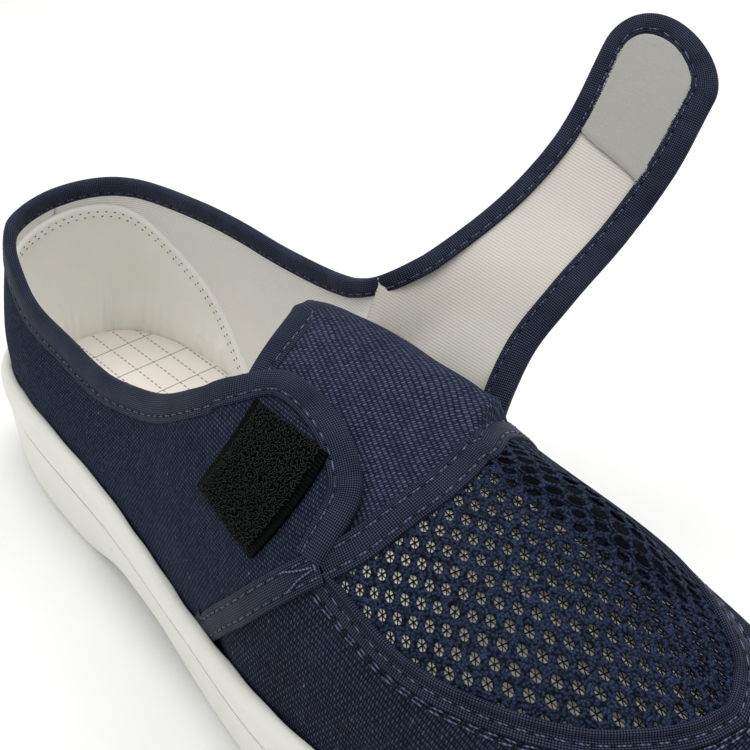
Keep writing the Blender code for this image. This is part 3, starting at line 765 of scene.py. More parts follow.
def dashes(line, normals, pitch, length, radius, shift=0.0):
    """Places of stitches along a line of points, each a little uneven in its length and slant."""
    lengths = steps_of(line)
    count = int(lengths[-1] / pitch)
    middles = (np.arange(count) + 0.5 + shift) * lengths[-1] / max(count, 1)
    ahead = resample(line, lengths, middles + length / 2) - resample(line, lengths, middles - length / 2)
    ups = resample(normals, lengths, middles)
    ahead += np.cross(ups, ahead) * chance.normal(0.0, 0.05, (count, 1))
    sizes = chance.uniform(0.9, 1.08, (count, 1)) * (length / 2, 0, 0) + (0, radius, radius)
    return frames(resample(line, lengths, middles), ahead, ups, sizes)


def stitch_shape():
    """One stitch: a short rounded dash of thread, of unit size."""
    bm = bmesh.new()
    along_x = Matrix.Rotation(math.pi / 2, 4, "Y")
    bmesh.ops.create_uvsphere(bm, u_segments=6, v_segments=5, radius=1.0, matrix=along_x)
    return bm


def arched_filament(radius, thickness, angle, steps):
    """One filament bent round from its base, with closed ends."""
    bm = bmesh.new()
    foot = Matrix.Translation((radius, 0, 0))
    ring = bmesh.ops.create_circle(bm, cap_ends=True, segments=3, radius=thickness, matrix=foot)["verts"]
    geom = ring + bm.edges[:] + bm.faces[:]
    bmesh.ops.spin(bm, geom=geom, axis=(0, -1, 0), angle=angle, steps=steps)
    bmesh.ops.recalc_face_normals(bm, faces=bm.faces)
    return bm


def plan_cap(rows, inset, shares):
    """Plan points that close the outline at an inset, from its middle line out, and how far in they are."""
    edge, _ = outline(rows, np.full_like(rows, inset))
    spine = (edge + edge[::-1]) / 2
    for share in shares:
        yield spine + (edge - spine) * share, (1 - share) * np.linalg.norm(edge - spine, axis=1)


def raised(plan, level):
    """Plan points with their heights, in the shoe's frame."""
    return np.concatenate([plan, level[:, None]], axis=1) - (HEEL_CENTRE, 0, 0)


# Side of the sole from the tread to the cup: inset in mm, share of the way from tread to lip, offset in mm
SOLE_SIDE = np.array((
    (4.2, 0, 0.0), (3.0, 0, 0.5), (2.2, 0, 2.0), (1.7, 0, 4.0), (1.3, 0, 7.0), (0.9, 1, -9.0),
    (0.95, 1, -8.2), (1.9, 1, -7.7), (1.9, 1, -7.2), (0.8, 1, -6.7), (0.4, 1, -6.0), (0.08, 1, -4.8),
    (0.0, 1, -3.4), (0.25, 1, -2.1), (0.9, 1, -1.0), (1.6, 1, -0.3), (2.4, 1, 0.0), (3.3, 1, -0.1),
    (3.8, 1, -0.4), (4.0, 1, -1.0),
))
SIDE_STEPS = 6
SOLE_ROWS = 481
# How far the lip stands up over the seam with the canvas: share of the length, height in mm
LIP_STANDS = np.array((
    (0.0, 1.4), (0.06, 1.4), (0.12, 2.6), (0.20, 3.6), (0.27, 3.0), (0.34, 1.8), (0.42, 0.5), (0.49, -1.2),
    (0.53, -0.6), (0.57, 0.8), (0.63, 2.8), (0.80, 2.8), (1.0, 1.4),
))
# Uneven flash on the lip's inner edge, and the insets in mm between which it grows
FLASH, FLASH_RIPPLE = 0.25 * MM, 0.12 * MM
FLASH_INSETS = (2.4, 3.6)
# Offsets in mm between which the lip's stand comes in, and soft edges of the tread's grooves and land
STAND_OFFSETS = (-6.5, -1.0)
GROOVE_EDGE = 0.6 * MM
LAND_EDGE = 4 * MM


def add_sole():
    """Cup sole: a rounded lip with an uneven flash, a groove under its bead, and tread bars."""
    rows = np.linspace(0, ROWS, SOLE_ROWS)
    knots = np.arange(len(SOLE_SIDE))
    side = spline(knots, SOLE_SIDE, np.linspace(0, knots[-1], SIDE_STEPS * knots[-1] + 1))
    flash = FLASH * np.sin(rows * 5.3) * np.sin(rows * 2.1 + 0.7) + FLASH_RIPPLE * np.sin(rows * 17.0)
    flash = flash * np.sin(np.pi * rows / ROWS) ** 0.5
    tread_inset = SOLE_SIDE[0, 0] * MM
    columns = []
    for plan, inside in plan_cap(rows, tread_inset, np.linspace(0, 1, 15)[:-1]):
        level = tread_height(plan[:, 0])
        land = smoothstep(TREAD_LAND - LAND_EDGE, TREAD_LAND, inside + tread_inset)
        for share in TREAD_GROOVES:
            off = np.abs(plan[:, 0] - share * LENGTH)
            groove = 1 - smoothstep(GROOVE_WIDTH / 2 - GROOVE_EDGE, GROOVE_WIDTH / 2 + GROOVE_EDGE, off)
            level = level + GROOVE_DEPTH * groove * land
        columns.append(raised(plan, level))
    for inset, share, offset in side:
        wave = flash * smoothstep(*FLASH_INSETS, inset) * (share > 0.5)
        plan, _ = outline(rows, inset * MM + wave)
        tread, lip = tread_height(plan[:, 0]), lip_height(plan[:, 0])
        stands = smoothstep(*STAND_OFFSETS, offset) * spline(*LIP_STANDS.T, plan[:, 0] / LENGTH) * MM
        columns.append(raised(plan, tread + share * (lip - tread + stands) + offset * MM))
    for plan, _ in plan_cap(rows, LIP_THICKNESS, np.linspace(1, 0, 13)):
        columns.append(raised(plan, footbed_height(plan[:, 0])))
    points = np.stack(columns, axis=1)
    finish_piece("cup_sole", laid_grid(points, points[..., :2], weld=True), SOLE, "outsole")


# Layers of the insole board: inset, height, and shares of the way out from its middle line
INSOLE_LAYERS = (
    (0.0, 0.0, np.linspace(0, 1, 9)),
    (0.0, 2.2 * MM, (1,)),
    (0.4 * MM, 3.1 * MM, (1,)),
    (1.2 * MM, INSOLE_THICKNESS, np.linspace(1, 0, 13)),
)


def add_insole():
    """Insole board with a softly rounded edge."""
    rows = np.linspace(0, ROWS, 201)
    edge = LIP_THICKNESS + GAP + WALL + INSOLE_CLEARANCE
    columns = []
    for inset, level, shares in INSOLE_LAYERS:
        for plan, _ in plan_cap(rows, edge + inset, shares):
            columns.append(raised(plan, footbed_height(plan[:, 0]) + GAP + level))
    points = np.stack(columns, axis=1)
    finish_piece("insole_board", laid_grid(points, points[..., :2], weld=True), INSOLE, "insole")


# Edge paths shared by panels, bindings and stitches
edge_path = upper_path(TAB_EDGE + COLLAR_EDGE[1:])
edge_path[:, 1] = np.minimum(edge_path[:, 1], 1)
tape_path = upper_path(TAPE_LINE)
seam_path = upper_path(SEAM_LINE)
toe_path = upper_path(TOE_LINE)
back_top = np.array([(0.0, 1.0)])
lateral_edge = np.concatenate([back_top, edge_path[edge_path[:, 0] > 0][::-1]])
medial_edge = np.concatenate([back_top, edge_path[edge_path[:, 0] < 0]])


def lip_line(start, end, wall, count=120):
    """Places along the lip from one row to another."""
    return np.stack([np.linspace(start, end, count), np.full(count, wall)], axis=1)


def add_panel(name, places, lift, cloth, material, node, thickness, inside=False):
    """A cloth panel over the upper, facing outwards or into the shoe."""
    normals = upper_normals(places)
    facing = -normals if inside else normals
    points = eased(upper(places[..., 0], places[..., 1], np.broadcast_to(lift, places.shape[:-1])))
    finish_piece(name, laid_grid(points, cloth(places), facing), material, node, thickness=thickness)


def creased(places, creases):
    """Heights of creases at the listed places."""
    total = np.zeros(places.shape[:-1])
    for row, wall, row_reach, wall_reach, lift in creases:
        away = ((places[..., 0] - row) / row_reach) ** 2 + ((places[..., 1] - wall) / wall_reach) ** 2
        total += lift * np.exp(-away)
    return total


# Shallow hollows and swells of the lateral quarter: row, wall, reach in rows, reach up the wall, height
QUARTER_CREASES = (
    (3.0, 0.30, 0.5, 0.10, -0.5 * MM), (2.2, 0.25, 0.4, 0.20, 0.35 * MM), (4.35, 0.22, 0.25, 0.12, -0.4 * MM),
    (1.2, 0.45, 0.35, 0.25, -0.3 * MM), (3.7, 0.42, 0.3, 0.07, 0.3 * MM),
)
# Groove of the seam at the back of the heel, and swells of tongue and mesh where the strap has let go of them
BACK_SEAM = ((0.0, 0.5, 0.03, 9.0, 0.5 * MM),)
TONGUE_SWELLS = ((5.08, 1.22, 0.38, 0.20, 6.0 * MM), (4.55, 1.20, 0.45, 0.20, 2.0 * MM))
MESH_SWELLS = ((5.95, 1.20, 0.45, 0.16, 4.5 * MM),)

LINING_THICKNESS = 0.3 * MM
LINING_FRONT = ((4.4, LINING_FOOT), (4.8, 0.2), (5.1, 0.45))


def add_quarters():
    """Lateral quarter with its free tab, and the rear of the medial quarter, each canvas over a lining."""
    low = np.concatenate([lip_line(0, TAPE_LINE[0][0], CANVAS_FOOT), tape_path[1:]])
    places = panel(low, lateral_edge, (220, 70))
    lift = creased(places, QUARTER_CREASES) - creased(places, BACK_SEAM)
    add_panel("lateral_quarter", places, lift, quarter_cloth, FINE_CANVAS, "upper", CANVAS)
    low = np.concatenate([lip_line(0, LINING_FRONT[0][0], LINING_FOOT), upper_path(LINING_FRONT)])
    places = panel(low, lateral_edge, (150, 50))
    level = creased(places, BACK_SEAM) - WALL
    add_panel("lateral_lining", places, level, quarter_cloth, LINING, "upper", LINING_THICKNESS, inside=True)
    places = panel(lip_line(0, COLLAR_EDGE[-1][0], CANVAS_FOOT), medial_edge, (110, 50))
    lift = -creased(places, BACK_SEAM)
    add_panel("medial_quarter_rear", places, lift, quarter_cloth, FINE_CANVAS, "upper", CANVAS)
    places = panel(lip_line(0, COLLAR_EDGE[-1][0], LINING_FOOT), medial_edge, (110, 50))
    level = near_corner(upper(places[..., 0], places[..., 1])) + creased(places, BACK_SEAM) - WALL
    add_panel(
        "medial_lining_rear", places, level, quarter_cloth, LINING, "upper", LINING_THICKNESS, inside=True
    )


# The strap, with the front of the medial quarter that it grows from
ROOT_PATH = upper_path(STRAP_ROOT)
ROOT_LINE = upper(*ROOT_PATH.T)
REAR_EDGE, FRONT_EDGE = (
    np.concatenate([ROOT_LINE[[end]], STRAP_SECTIONS[:, k] - (HEEL_CENTRE, 0, 0)])
    for k, end in ((0, 0), (1, -1))
)
STRAP_MIDDLE = (REAR_EDGE + FRONT_EDGE) / 2
STRAP_LENGTHS = steps_of(STRAP_MIDDLE)
STRAP_LENGTH = STRAP_LENGTHS[-1]
WING_FOOT = (STRAP_ROOT[0][0], 11.90)
WING_LOWER, WING_UPPER, WING_ACROSS = 30, 90, 28
ROOT_BEND, ROOT_ROUNDS = 9, 30


def strap_points(length, v):
    """Outer face of the strap at a length from its root, v from its rear to its front edge."""
    inside = np.minimum(length, STRAP_LENGTH)
    rear, front = (spline(STRAP_LENGTHS, edge, inside) for edge in (REAR_EDGE, FRONT_EDGE))
    fade = (np.maximum(0, 1 - inside / STRAP_LENGTH / ROOT_FADE) ** 2)[..., None]
    root = spline(np.linspace(0, 1, len(ROOT_LINE)), ROOT_LINE, v)
    v = v[..., None]
    straight = REAR_EDGE[0] + (FRONT_EDGE[0] - REAR_EDGE[0]) * v
    onward = unit(STRAP_MIDDLE[-1] - STRAP_MIDDLE[-2])
    return rear + (front - rear) * v + fade * (root - straight) + (length - inside)[..., None] * onward


def strap_grid(start, sides, radius, steps):
    """Grid along the strap from start to a round end, between two sides given as shares of its width."""
    side = -np.cos(np.pi * np.linspace(0, 1, steps[1] + 1))
    ends = STRAP_LENGTH + radius * np.sqrt(np.maximum(0, 1 - side * side)) * (1 - STRAP_TIP_SLANT * side)
    lengths = start + (ends - start) * np.linspace(0, 1, steps[0] + 1)[:, None]
    across = sides[0] + (sides[1] - sides[0]) * (side + 1) / 2
    return strap_points(lengths, np.broadcast_to(across, lengths.shape))


def smoothed(points, middle, reach, rounds, ease):
    """Draws the rows of points near a middle row towards their neighbours, and gives their span."""
    span = slice(middle - reach, middle + reach)
    before = slice(span.start - 1, span.stop - 1)
    after = slice(span.start + 1, span.stop + 1)
    for _ in range(rounds):
        points[span] += ease * ((points[before] + points[after]) / 2 - points[span])
    return span


def wing_grid(foot):
    """Front of the medial quarter from the sole to the strap's root, and on along the strap, as one grid."""
    v = (1 - np.cos(np.pi * np.linspace(0, 1, WING_ACROSS + 1))) / 2
    root = resample(ROOT_PATH, np.linspace(0, 1, len(ROOT_PATH)), v)
    low = np.stack([WING_FOOT[0] + (WING_FOOT[1] - WING_FOOT[0]) * v, np.full_like(v, foot)], axis=1)
    share = np.linspace(0, 1, WING_LOWER + 1)[:, None, None]
    places = low * (1 - share) + root * share
    strap = strap_grid(0, (0, 1), STRAP_TIP_RADIUS, (WING_UPPER, WING_ACROSS))
    points = np.concatenate([upper(places[..., 0], places[..., 1]), strap[1:]])
    smoothed(points, WING_LOWER, ROOT_BEND, ROOT_ROUNDS, 0.5 * smoothstep(0.0, 0.3, v)[:, None])
    return points


def strap_out(grid):
    """Directions off the outer face of the strap."""
    normals = grid_normals(grid)
    return normals if (normals * (0, 1, 0)).sum() > 0 else -normals


# Folded binding, from its edge on the outer face round the free edge to its edge on the lining: distance in
# from the free edge, and level over the outer face
BINDING_PROFILE = np.array((
    (6.6, -0.1), (6.6, 0.3), (6.2, 0.48), (5.5, 0.46), (5.05, 0.28), (4.6, 0.46), (3.6, 0.6), (2.4, 0.64),
    (1.2, 0.58), (0.3, 0.42), (-0.2, 0.0), (-0.45, -0.5), (-0.5, -1.1), (-0.45, -1.7), (-0.2, -2.3),
    (0.3, -2.75), (1.1, -2.98), (2.0, -3.04), (2.8, -3.02), (3.4, -2.9), (3.7, -2.75), (4.0, -2.92),
    (4.4, -2.98), (4.7, -2.8), (4.7, -2.1),
)) * MM
OUTER_STITCH, EDGE_ROW, INNER_STITCH = 4, 12, 20
EDGE_JOINT, EDGE_ROUNDS = 12, 80
# Width of the binding's inner flap round the strap: share of the way round, share of its width on the collar
STRAP_FLAP = ((0.0, 0.42, 0.50, 0.58, 1.0), (1.0, 1.0, 1.15, 1.35, 1.35))
CORNER_REACH = 14 * MM
CORNER_FALLOFF = 2 * MM
CORNER_SETBACK = 0.8 * MM
CORNER_SPAN = (3 * MM, 18 * MM)


def folded_over(path, profile):
    """Binding over an edge of the upper, on a path that has the panel on its left."""
    at_edge = upper(path[:, 0], path[:, 1])
    normals = upper_normals(path)
    inward = unit(beside(path, 1 * MM, 0.0) - at_edge)
    columns = []
    for distance, lift in profile:
        over = at_edge + inward * distance + normals * lift
        columns.append(beside(path, distance, lift) if distance > 0 else over)
    return np.stack(columns, axis=1)


def stitch_rows(name, rows, material, node):
    """Sewn rows and their holes as two pieces, each row a line of points and the directions off the cloth."""
    threads = [dashes(line, ups, STITCH_PITCH, STITCH_LENGTH, STITCH_RADIUS) for line, ups in rows]
    finish_piece(name, repeated(stitch_shape(), np.concatenate(threads)), material, node)
    # The holes are dark dashes between the stitches: painted shade in the needle holes
    holes = [dashes(line, ups, STITCH_PITCH, NEEDLE_LENGTH, NEEDLE_RADIUS, 0.5) for line, ups in rows]
    finish_piece(name + "_holes", repeated(stitch_shape(), np.concatenate(holes)), NEEDLE_SHADE, node)


def tube_facing(points):
    """Directions off a folded strip, away from the cloth that it holds."""
    normals = grid_normals(points)
    middle = len(points[0]) // 2
    inside = points[:, [0]] + points[:, [-1]] - 2 * points[:, [middle]]
    return -normals if (normals[:, middle] * inside[:, 0]).sum() > 0 else normals


def free_edge():
    """Binding over the whole free edge: tab, collar and strap. Its corner at the strap's root is rounded."""
    on_upper = folded_over(edge_path, BINDING_PROFILE)
    grid = wing_grid(CANVAS_FOOT)
    line, outs = (
        np.concatenate([part[WING_LOWER + 1 : -1, 0], part[-1], part[WING_LOWER:-1, -1][::-1]])
        for part in (grid, strap_out(grid))
    )
    lengths = steps_of(line)
    even = np.linspace(0, lengths[-1], round(lengths[-1] / MM) + 1)
    line, outs = resample(line, lengths, even), unit(resample(outs, lengths, even))
    into = unit(np.cross(outs, np.gradient(line, axis=0)))
    flap = np.interp(even / even[-1], STRAP_FLAP[0], STRAP_FLAP[1])[:, None]
    on_strap = np.stack([
        line + into * distance * (flap if k > EDGE_ROW else 1) + outs * lift
        for k, (distance, lift) in enumerate(BINDING_PROFILE)
    ], axis=1)
    sharp = np.concatenate([on_upper, on_strap])
    points = sharp.copy()
    joint = smoothed(points, len(on_upper), EDGE_JOINT, EDGE_ROUNDS, 0.5)
    return points, sharp[joint, EDGE_ROW], (points - sharp)[joint, EDGE_ROW]


binding, corner_line, corner_moves = free_edge()


def from_corner(points):
    """Distances from points to each point of the corner at the strap's root."""
    return np.linalg.norm(points[..., None, :] - corner_line, axis=-1)


def eased(points):
    """Points near the corner at the strap's root, moved with the binding that rounds it."""
    away = from_corner(points)
    nearest = away.min(axis=-1)
    weights = np.exp((nearest[..., None] - away) / CORNER_FALLOFF)
    moves = (weights @ corner_moves) / weights.sum(axis=-1)[..., None]
    return points + moves * (1 - smoothstep(0.0, CORNER_REACH, nearest))[..., None]


def near_corner(points):
    """How far the lining stays back from the inner face near the rounded corner."""
    return CORNER_SETBACK * (1 - smoothstep(*CORNER_SPAN, from_corner(points).min(axis=-1)))


def add_binding():
    """Grosgrain folded over the free edge, with a stitch row on both faces."""
    ups = tube_facing(binding)
    add_cloth("edge_binding", binding, ups, GROSGRAIN, "upper", "strap")
    rows = [(binding[:, k] + STITCH_RAISE * ups[:, k], ups[:, k]) for k in (OUTER_STITCH, INNER_STITCH)]
    stitch_rows("binding_stitches", rows, THREAD, "upper")


def strap_cloth(points):
    """Cloth coordinates of the strap: threads along the shoe and up the strap, as on the quarter."""
    upwards = unit((STRAP_MIDDLE[-1] - STRAP_MIDDLE[0]) * (0, 1, 1))
    return np.stack([points[..., 0], points @ upwards], axis=-1)


# How far the strap's lining stays back at the front end of its root, and over what distance
ROOT_SETBACK = 1.3 * MM
ROOT_SPAN = (5 * MM, 14 * MM)


def add_strap():
    """Canvas outside of the strap and medial quarter, and the lining that the strap shows when it is open."""
    outer = eased(wing_grid(CANVAS_FOOT))
    bm = laid_grid(outer, strap_cloth(outer), strap_out(outer))
    finish_piece("strap_canvas", bm, FINE_CANVAS, "strap", "upper", thickness=CANVAS)
    outer = eased(wing_grid(LINING_FOOT))
    front = np.linalg.norm(outer - ROOT_LINE[-1], axis=-1)
    back = near_corner(outer) + ROOT_SETBACK * (1 - smoothstep(*ROOT_SPAN, front))
    inner = outer - (WALL - back)[..., None] * strap_out(outer)
    bm = laid_grid(inner, strap_cloth(inner), -strap_out(outer))
    # Its lining cloth is darker than the quarters': painted shade on the strap
    finish_piece("strap_lining", bm, SHADED_STRAP_LINING, "strap", thickness=LINING_THICKNESS)


# About the length of a section row along the vamp
ROW_LENGTH = 42 * MM
TONGUE_RISE = (2 * MM, 9 * MM)
TONGUE_SWELL_START = 5 * MM
TONGUE_TURN = math.radians(23)
TONGUE_SIDE = (SEAM_LINE[-1], (4.68, 1.72), (4.58, 1.86))
TONGUE_UNDER_SEAM = (0.03, 0.0)


def seam_row(wall):
    """Row of the seam between tongue and vamp at a wall height over the ridge."""
    order = np.argsort(seam_path[:, 1])
    return np.interp(wall, seam_path[order, 1], seam_path[order, 0])


def tongue_level(places):
    """Level of the tongue: low under the tab, and up to the vamp at the seam."""
    before = (seam_row(places[..., 1]) - places[..., 0]) * ROW_LENGTH
    rise = 1 - smoothstep(*TONGUE_RISE, before)
    swell = creased(places, TONGUE_SWELLS) * smoothstep(0.0, TONGUE_SWELL_START, before)
    return TONGUE_LEVEL + (TONGUE_SEAM_LEVEL - TONGUE_LEVEL) * rise + swell


def tongue_cloth(places):
    """Cloth coordinates of the tongue, cut a little off the straight of the vamp's cloth."""
    along, across = math.cos(TONGUE_TURN), math.sin(TONGUE_TURN)
    return vamp_cloth(places) @ np.array(((along, across), (-across, along)))


def add_tongue():
    """Coarse canvas tongue under the throat, with a bound upper edge."""
    top = upper_path(TONGUE_TOP)
    foot = np.concatenate([seam_path, upper_path(TONGUE_SIDE)[1:]]) + TONGUE_UNDER_SEAM
    places = panel(foot, top, (110, 70))
    level = tongue_level(places)
    # Its canvas is a lighter copy of the mudguard's: painted light on the up-facing tongue
    add_panel("tongue_panel", places, level, tongue_cloth, LIT_TONGUE_CANVAS, "tongue", CANVAS)
    backing = TONGUE_THICKNESS - CANVAS - 0.1 * MM
    level = level - TONGUE_THICKNESS
    add_panel("tongue_lining", places, level, vamp_cloth, LINING, "tongue", backing, inside=True)
    profile = BINDING_PROFILE.copy()
    behind = profile[:, 1] < -WALL / 2
    profile[behind, 1] += WALL - TONGUE_THICKNESS
    profile[:, 1] += TONGUE_LEVEL
    points = folded_over(top[::-1], profile)
    ups = tube_facing(points)
    add_cloth("tongue_binding", points, ups, GROSGRAIN, "tongue")
    row = (points[:, OUTER_STITCH] + STITCH_RAISE * ups[:, OUTER_STITCH], ups[:, OUTER_STITCH])
    stitch_rows("tongue_stitches", [row], THREAD, "tongue")


# Ends of the mudguard: rows at the sole, and where its upper edge goes on under the tab and the strap's root
MUDGUARD_ROWS = (3.5, 12.3)
UNDER_TAB, UNDER_STRAP = (4.75, 0.46), (11.7, 0.40)
# At the lip it comes out flush between the rows of the side tapes, and its lining steps back under the others
MUDGUARD_FLUSH = 0.85
FLUSH_ROWS, FLUSH_WALLS = (4.3, 4.5, 11.4, 11.7), (0.02, 0.14)
LINING_FALL, FALL_ROWS = 0.1, (10.9, 11.3)
LINING_STEP, STEP_ROWS = 0.15 * MM, (4.5, 4.9, 11.2, 11.5)


def add_mudguard():
    """Coarse canvas round the toe and along the sides, from the sole up to the mesh, over its own lining."""
    start = upper_path((UNDER_TAB, TOE_LINE[0]))
    end = upper_path((TOE_LINE[-1], UNDER_STRAP))
    high = np.concatenate([start, toe_path[1:], end[1:]])
    places = panel(lip_line(*MUDGUARD_ROWS, CANVAS_FOOT, 300), high, (280, 40))
    row, wall = places[..., 0], places[..., 1]
    between_tapes = smoothstep(*FLUSH_ROWS[:2], row) * (1 - smoothstep(*FLUSH_ROWS[2:], row))
    at_lip = (1 - smoothstep(*FLUSH_WALLS, wall)) * between_tapes
    lift = VAMP_LEVEL * (1 - MUDGUARD_FLUSH * at_lip)
    add_panel("mudguard", places, lift, vamp_cloth, COARSE_CANVAS, "upper", CANVAS)
    high = high - (0, LINING_FALL) * smoothstep(*FALL_ROWS, high[:, :1])
    places = panel(lip_line(*MUDGUARD_ROWS, LINING_FOOT, 300), high, (200, 30))
    row = places[..., 0]
    under = 1 - smoothstep(*STEP_ROWS[:2], row) + smoothstep(*STEP_ROWS[2:], row)
    level = LINING_STEP * under - WALL
    add_panel("mudguard_lining", places, level, vamp_cloth, LINING, "upper", LINING_THICKNESS, inside=True)


# Spacer mesh: holes in rows across the foot. Over the ridge the mesh stands off its backing and they are open
MESH_PITCH = 3.9 * MM
MESH_HOLE = 1.07 * MM
OPEN_HOLE = 1.45 * MM
MESH_THICKNESS = 0.7 * MM
OPEN_THICKNESS = 0.4 * MM
BACKING_THICKNESS = 0.3 * MM
YARN_WIDTH, YARN_HEIGHT = 0.22 * MM, 0.2 * MM
MESH_LEVEL = VAMP_LEVEL + 0.25 * MM
YARN_LEVEL = MESH_LEVEL - 0.5 * MM
BACKING_LEVEL = MESH_LEVEL - 0.62 * MM
BACKING_FALL, BACKING_SPAN, BACKING_SLANT = 0.8 * MM, (5.3, 7.0), 1.2
OPEN_LEVEL = MESH_LEVEL - 5.0 * MM
MESH_ROWS = np.linspace(RIDGE_START, TOE_TIP, 81)
MESH_WALLS = np.linspace(1, 0.2, 41)
MESH_ACROSS = np.linspace(0, 80 * MM, 161)
MESH_SWELL_START = 8 * MM
# The open part begins past a slanting line along the ridge, and ends between two rows
OPEN_WALL, OPEN_SLANT, OPEN_ROW, OPEN_WIDTH = 0.96, 0.20, 5.6, 0.12
OPEN_END = (6.3, 6.7)
# Cells along and across the vamp's cloth, enough to reach past its edges
CELLS_ALONG, CELLS_ACROSS = (8, 52), (-16, 17)
# Painted shade under the open mesh, a navy sheet: its edge along the ridge, and its levels there and at the
# toe tape
SHADE_SHEET_EDGE = ((5.5, 1.04), (6.6, 1.26))
SHADE_SHEET_LEVELS = (MESH_LEVEL - 2.5 * MM, MESH_LEVEL - 1.0 * MM)
SHADE_SHEET_SWELL = 0.75
SHADE_SHEET_STEPS = (60, 40)

# Lengths along the mesh: over the ridge, and near the toe along a line below it, so that cells fill the tip
TIP_WALL = 0.90
tip_steps = RIDGE_STEPS >= TOE_TIP - RIDGE_START - 1
tip_line = face_points(RIDGE_START + RIDGE_STEPS[tip_steps], np.full(tip_steps.sum(), TIP_WALL))
MESH_LENGTHS = RIDGE_LENGTHS.copy()
MESH_LENGTHS[tip_steps] = RIDGE_LENGTHS[tip_steps][0] + steps_of(tip_line)


def fall_table(rows):
    """Wall height for each row and each length down from the ridge."""
    points = face_points(*np.broadcast_arrays(rows[:, None], MESH_WALLS[None, :]))
    return np.array([np.interp(MESH_ACROSS, steps_of(line), MESH_WALLS) for line in points])


LATERAL_FALLS = fall_table(MESH_ROWS)
MEDIAL_FALLS = fall_table(ROWS - MESH_ROWS)


def between(table, i, j):
    """Values of a table at places between its rows and columns."""
    a, b = (np.clip(k.astype(int), 0, size - 2) for k, size in zip((i, j), table.shape))
    p, q = i - a, j - b
    if table.ndim == 3:
        p, q = p[:, None], q[:, None]
    low = table[a, b] * (1 - q) + table[a, b + 1] * q
    high = table[a + 1, b] * (1 - q) + table[a + 1, b + 1] * q
    return low * (1 - p) + high * p


def ridge_places(flat):
    """Places on the vamp for points of the mesh laid flat: length along the ridge, and length across it."""
    row = RIDGE_START + np.interp(flat[:, 0], MESH_LENGTHS, RIDGE_STEPS)
    i = (row - MESH_ROWS[0]) / (MESH_ROWS[1] - MESH_ROWS[0])
    j = np.abs(flat[:, 1]) / (MESH_ACROSS[1] - MESH_ACROSS[0])
    wall = np.where(flat[:, 1] <= 0, between(LATERAL_FALLS, i, j), 2 - between(MEDIAL_FALLS, i, j))
    return np.stack([row, wall], axis=1)


def in_mesh(places, margin):
    """Whether places lie on the mesh vamp, inside its tapes by a margin in rows."""
    row, wall = over_ridge(places[:, 0], places[:, 1])
    edge = np.interp(row, toe_path[:, 0], toe_path[:, 1])
    return (wall > edge + margin) & (places[:, 0] > seam_row(places[:, 1]) + margin)


def openness(places):
    """How far the mesh stands off its backing, 0 to 1: beside the tongue, past a line along the ridge."""
    past = places[..., 1] - OPEN_WALL - OPEN_SLANT * (places[..., 0] - OPEN_ROW)
    return smoothstep(0.0, OPEN_WIDTH, past) * (1 - smoothstep(*OPEN_END, places[..., 0]))


def mesh_cell(hole):
    """One cell of the net: a hexagon with a round hole, lying flat."""
    bm = bmesh.new()
    sixth = math.pi / 3
    radii = (MESH_PITCH / math.sqrt(3), hole)
    rings = [bmesh.ops.create_circle(bm, segments=12, radius=radius)["verts"] for radius in radii]
    for vertex in rings[0]:
        turn = math.atan2(vertex.co.x, vertex.co.y)
        across = (turn + sixth / 2) % sixth - sixth / 2
        vertex.co *= math.cos(sixth / 2) / math.cos(across)
    bmesh.ops.bridge_loops(bm, edges=bm.edges[:])
    return bm


def laid_on_vamp(bm, level):
    """Bends a flat piece of mesh onto the vamp."""
    flat = np.array([v.co for v in bm.verts])
    places = ridge_places(flat)
    past_seam = (places[:, 0] - seam_row(places[:, 1])) * ROW_LENGTH
    swell = creased(places, MESH_SWELLS) * smoothstep(0.0, MESH_SWELL_START, past_seam)
    for vertex, point in zip(bm.verts, upper(places[:, 0], places[:, 1], level + swell + flat[:, 2])):
        vertex.co = point


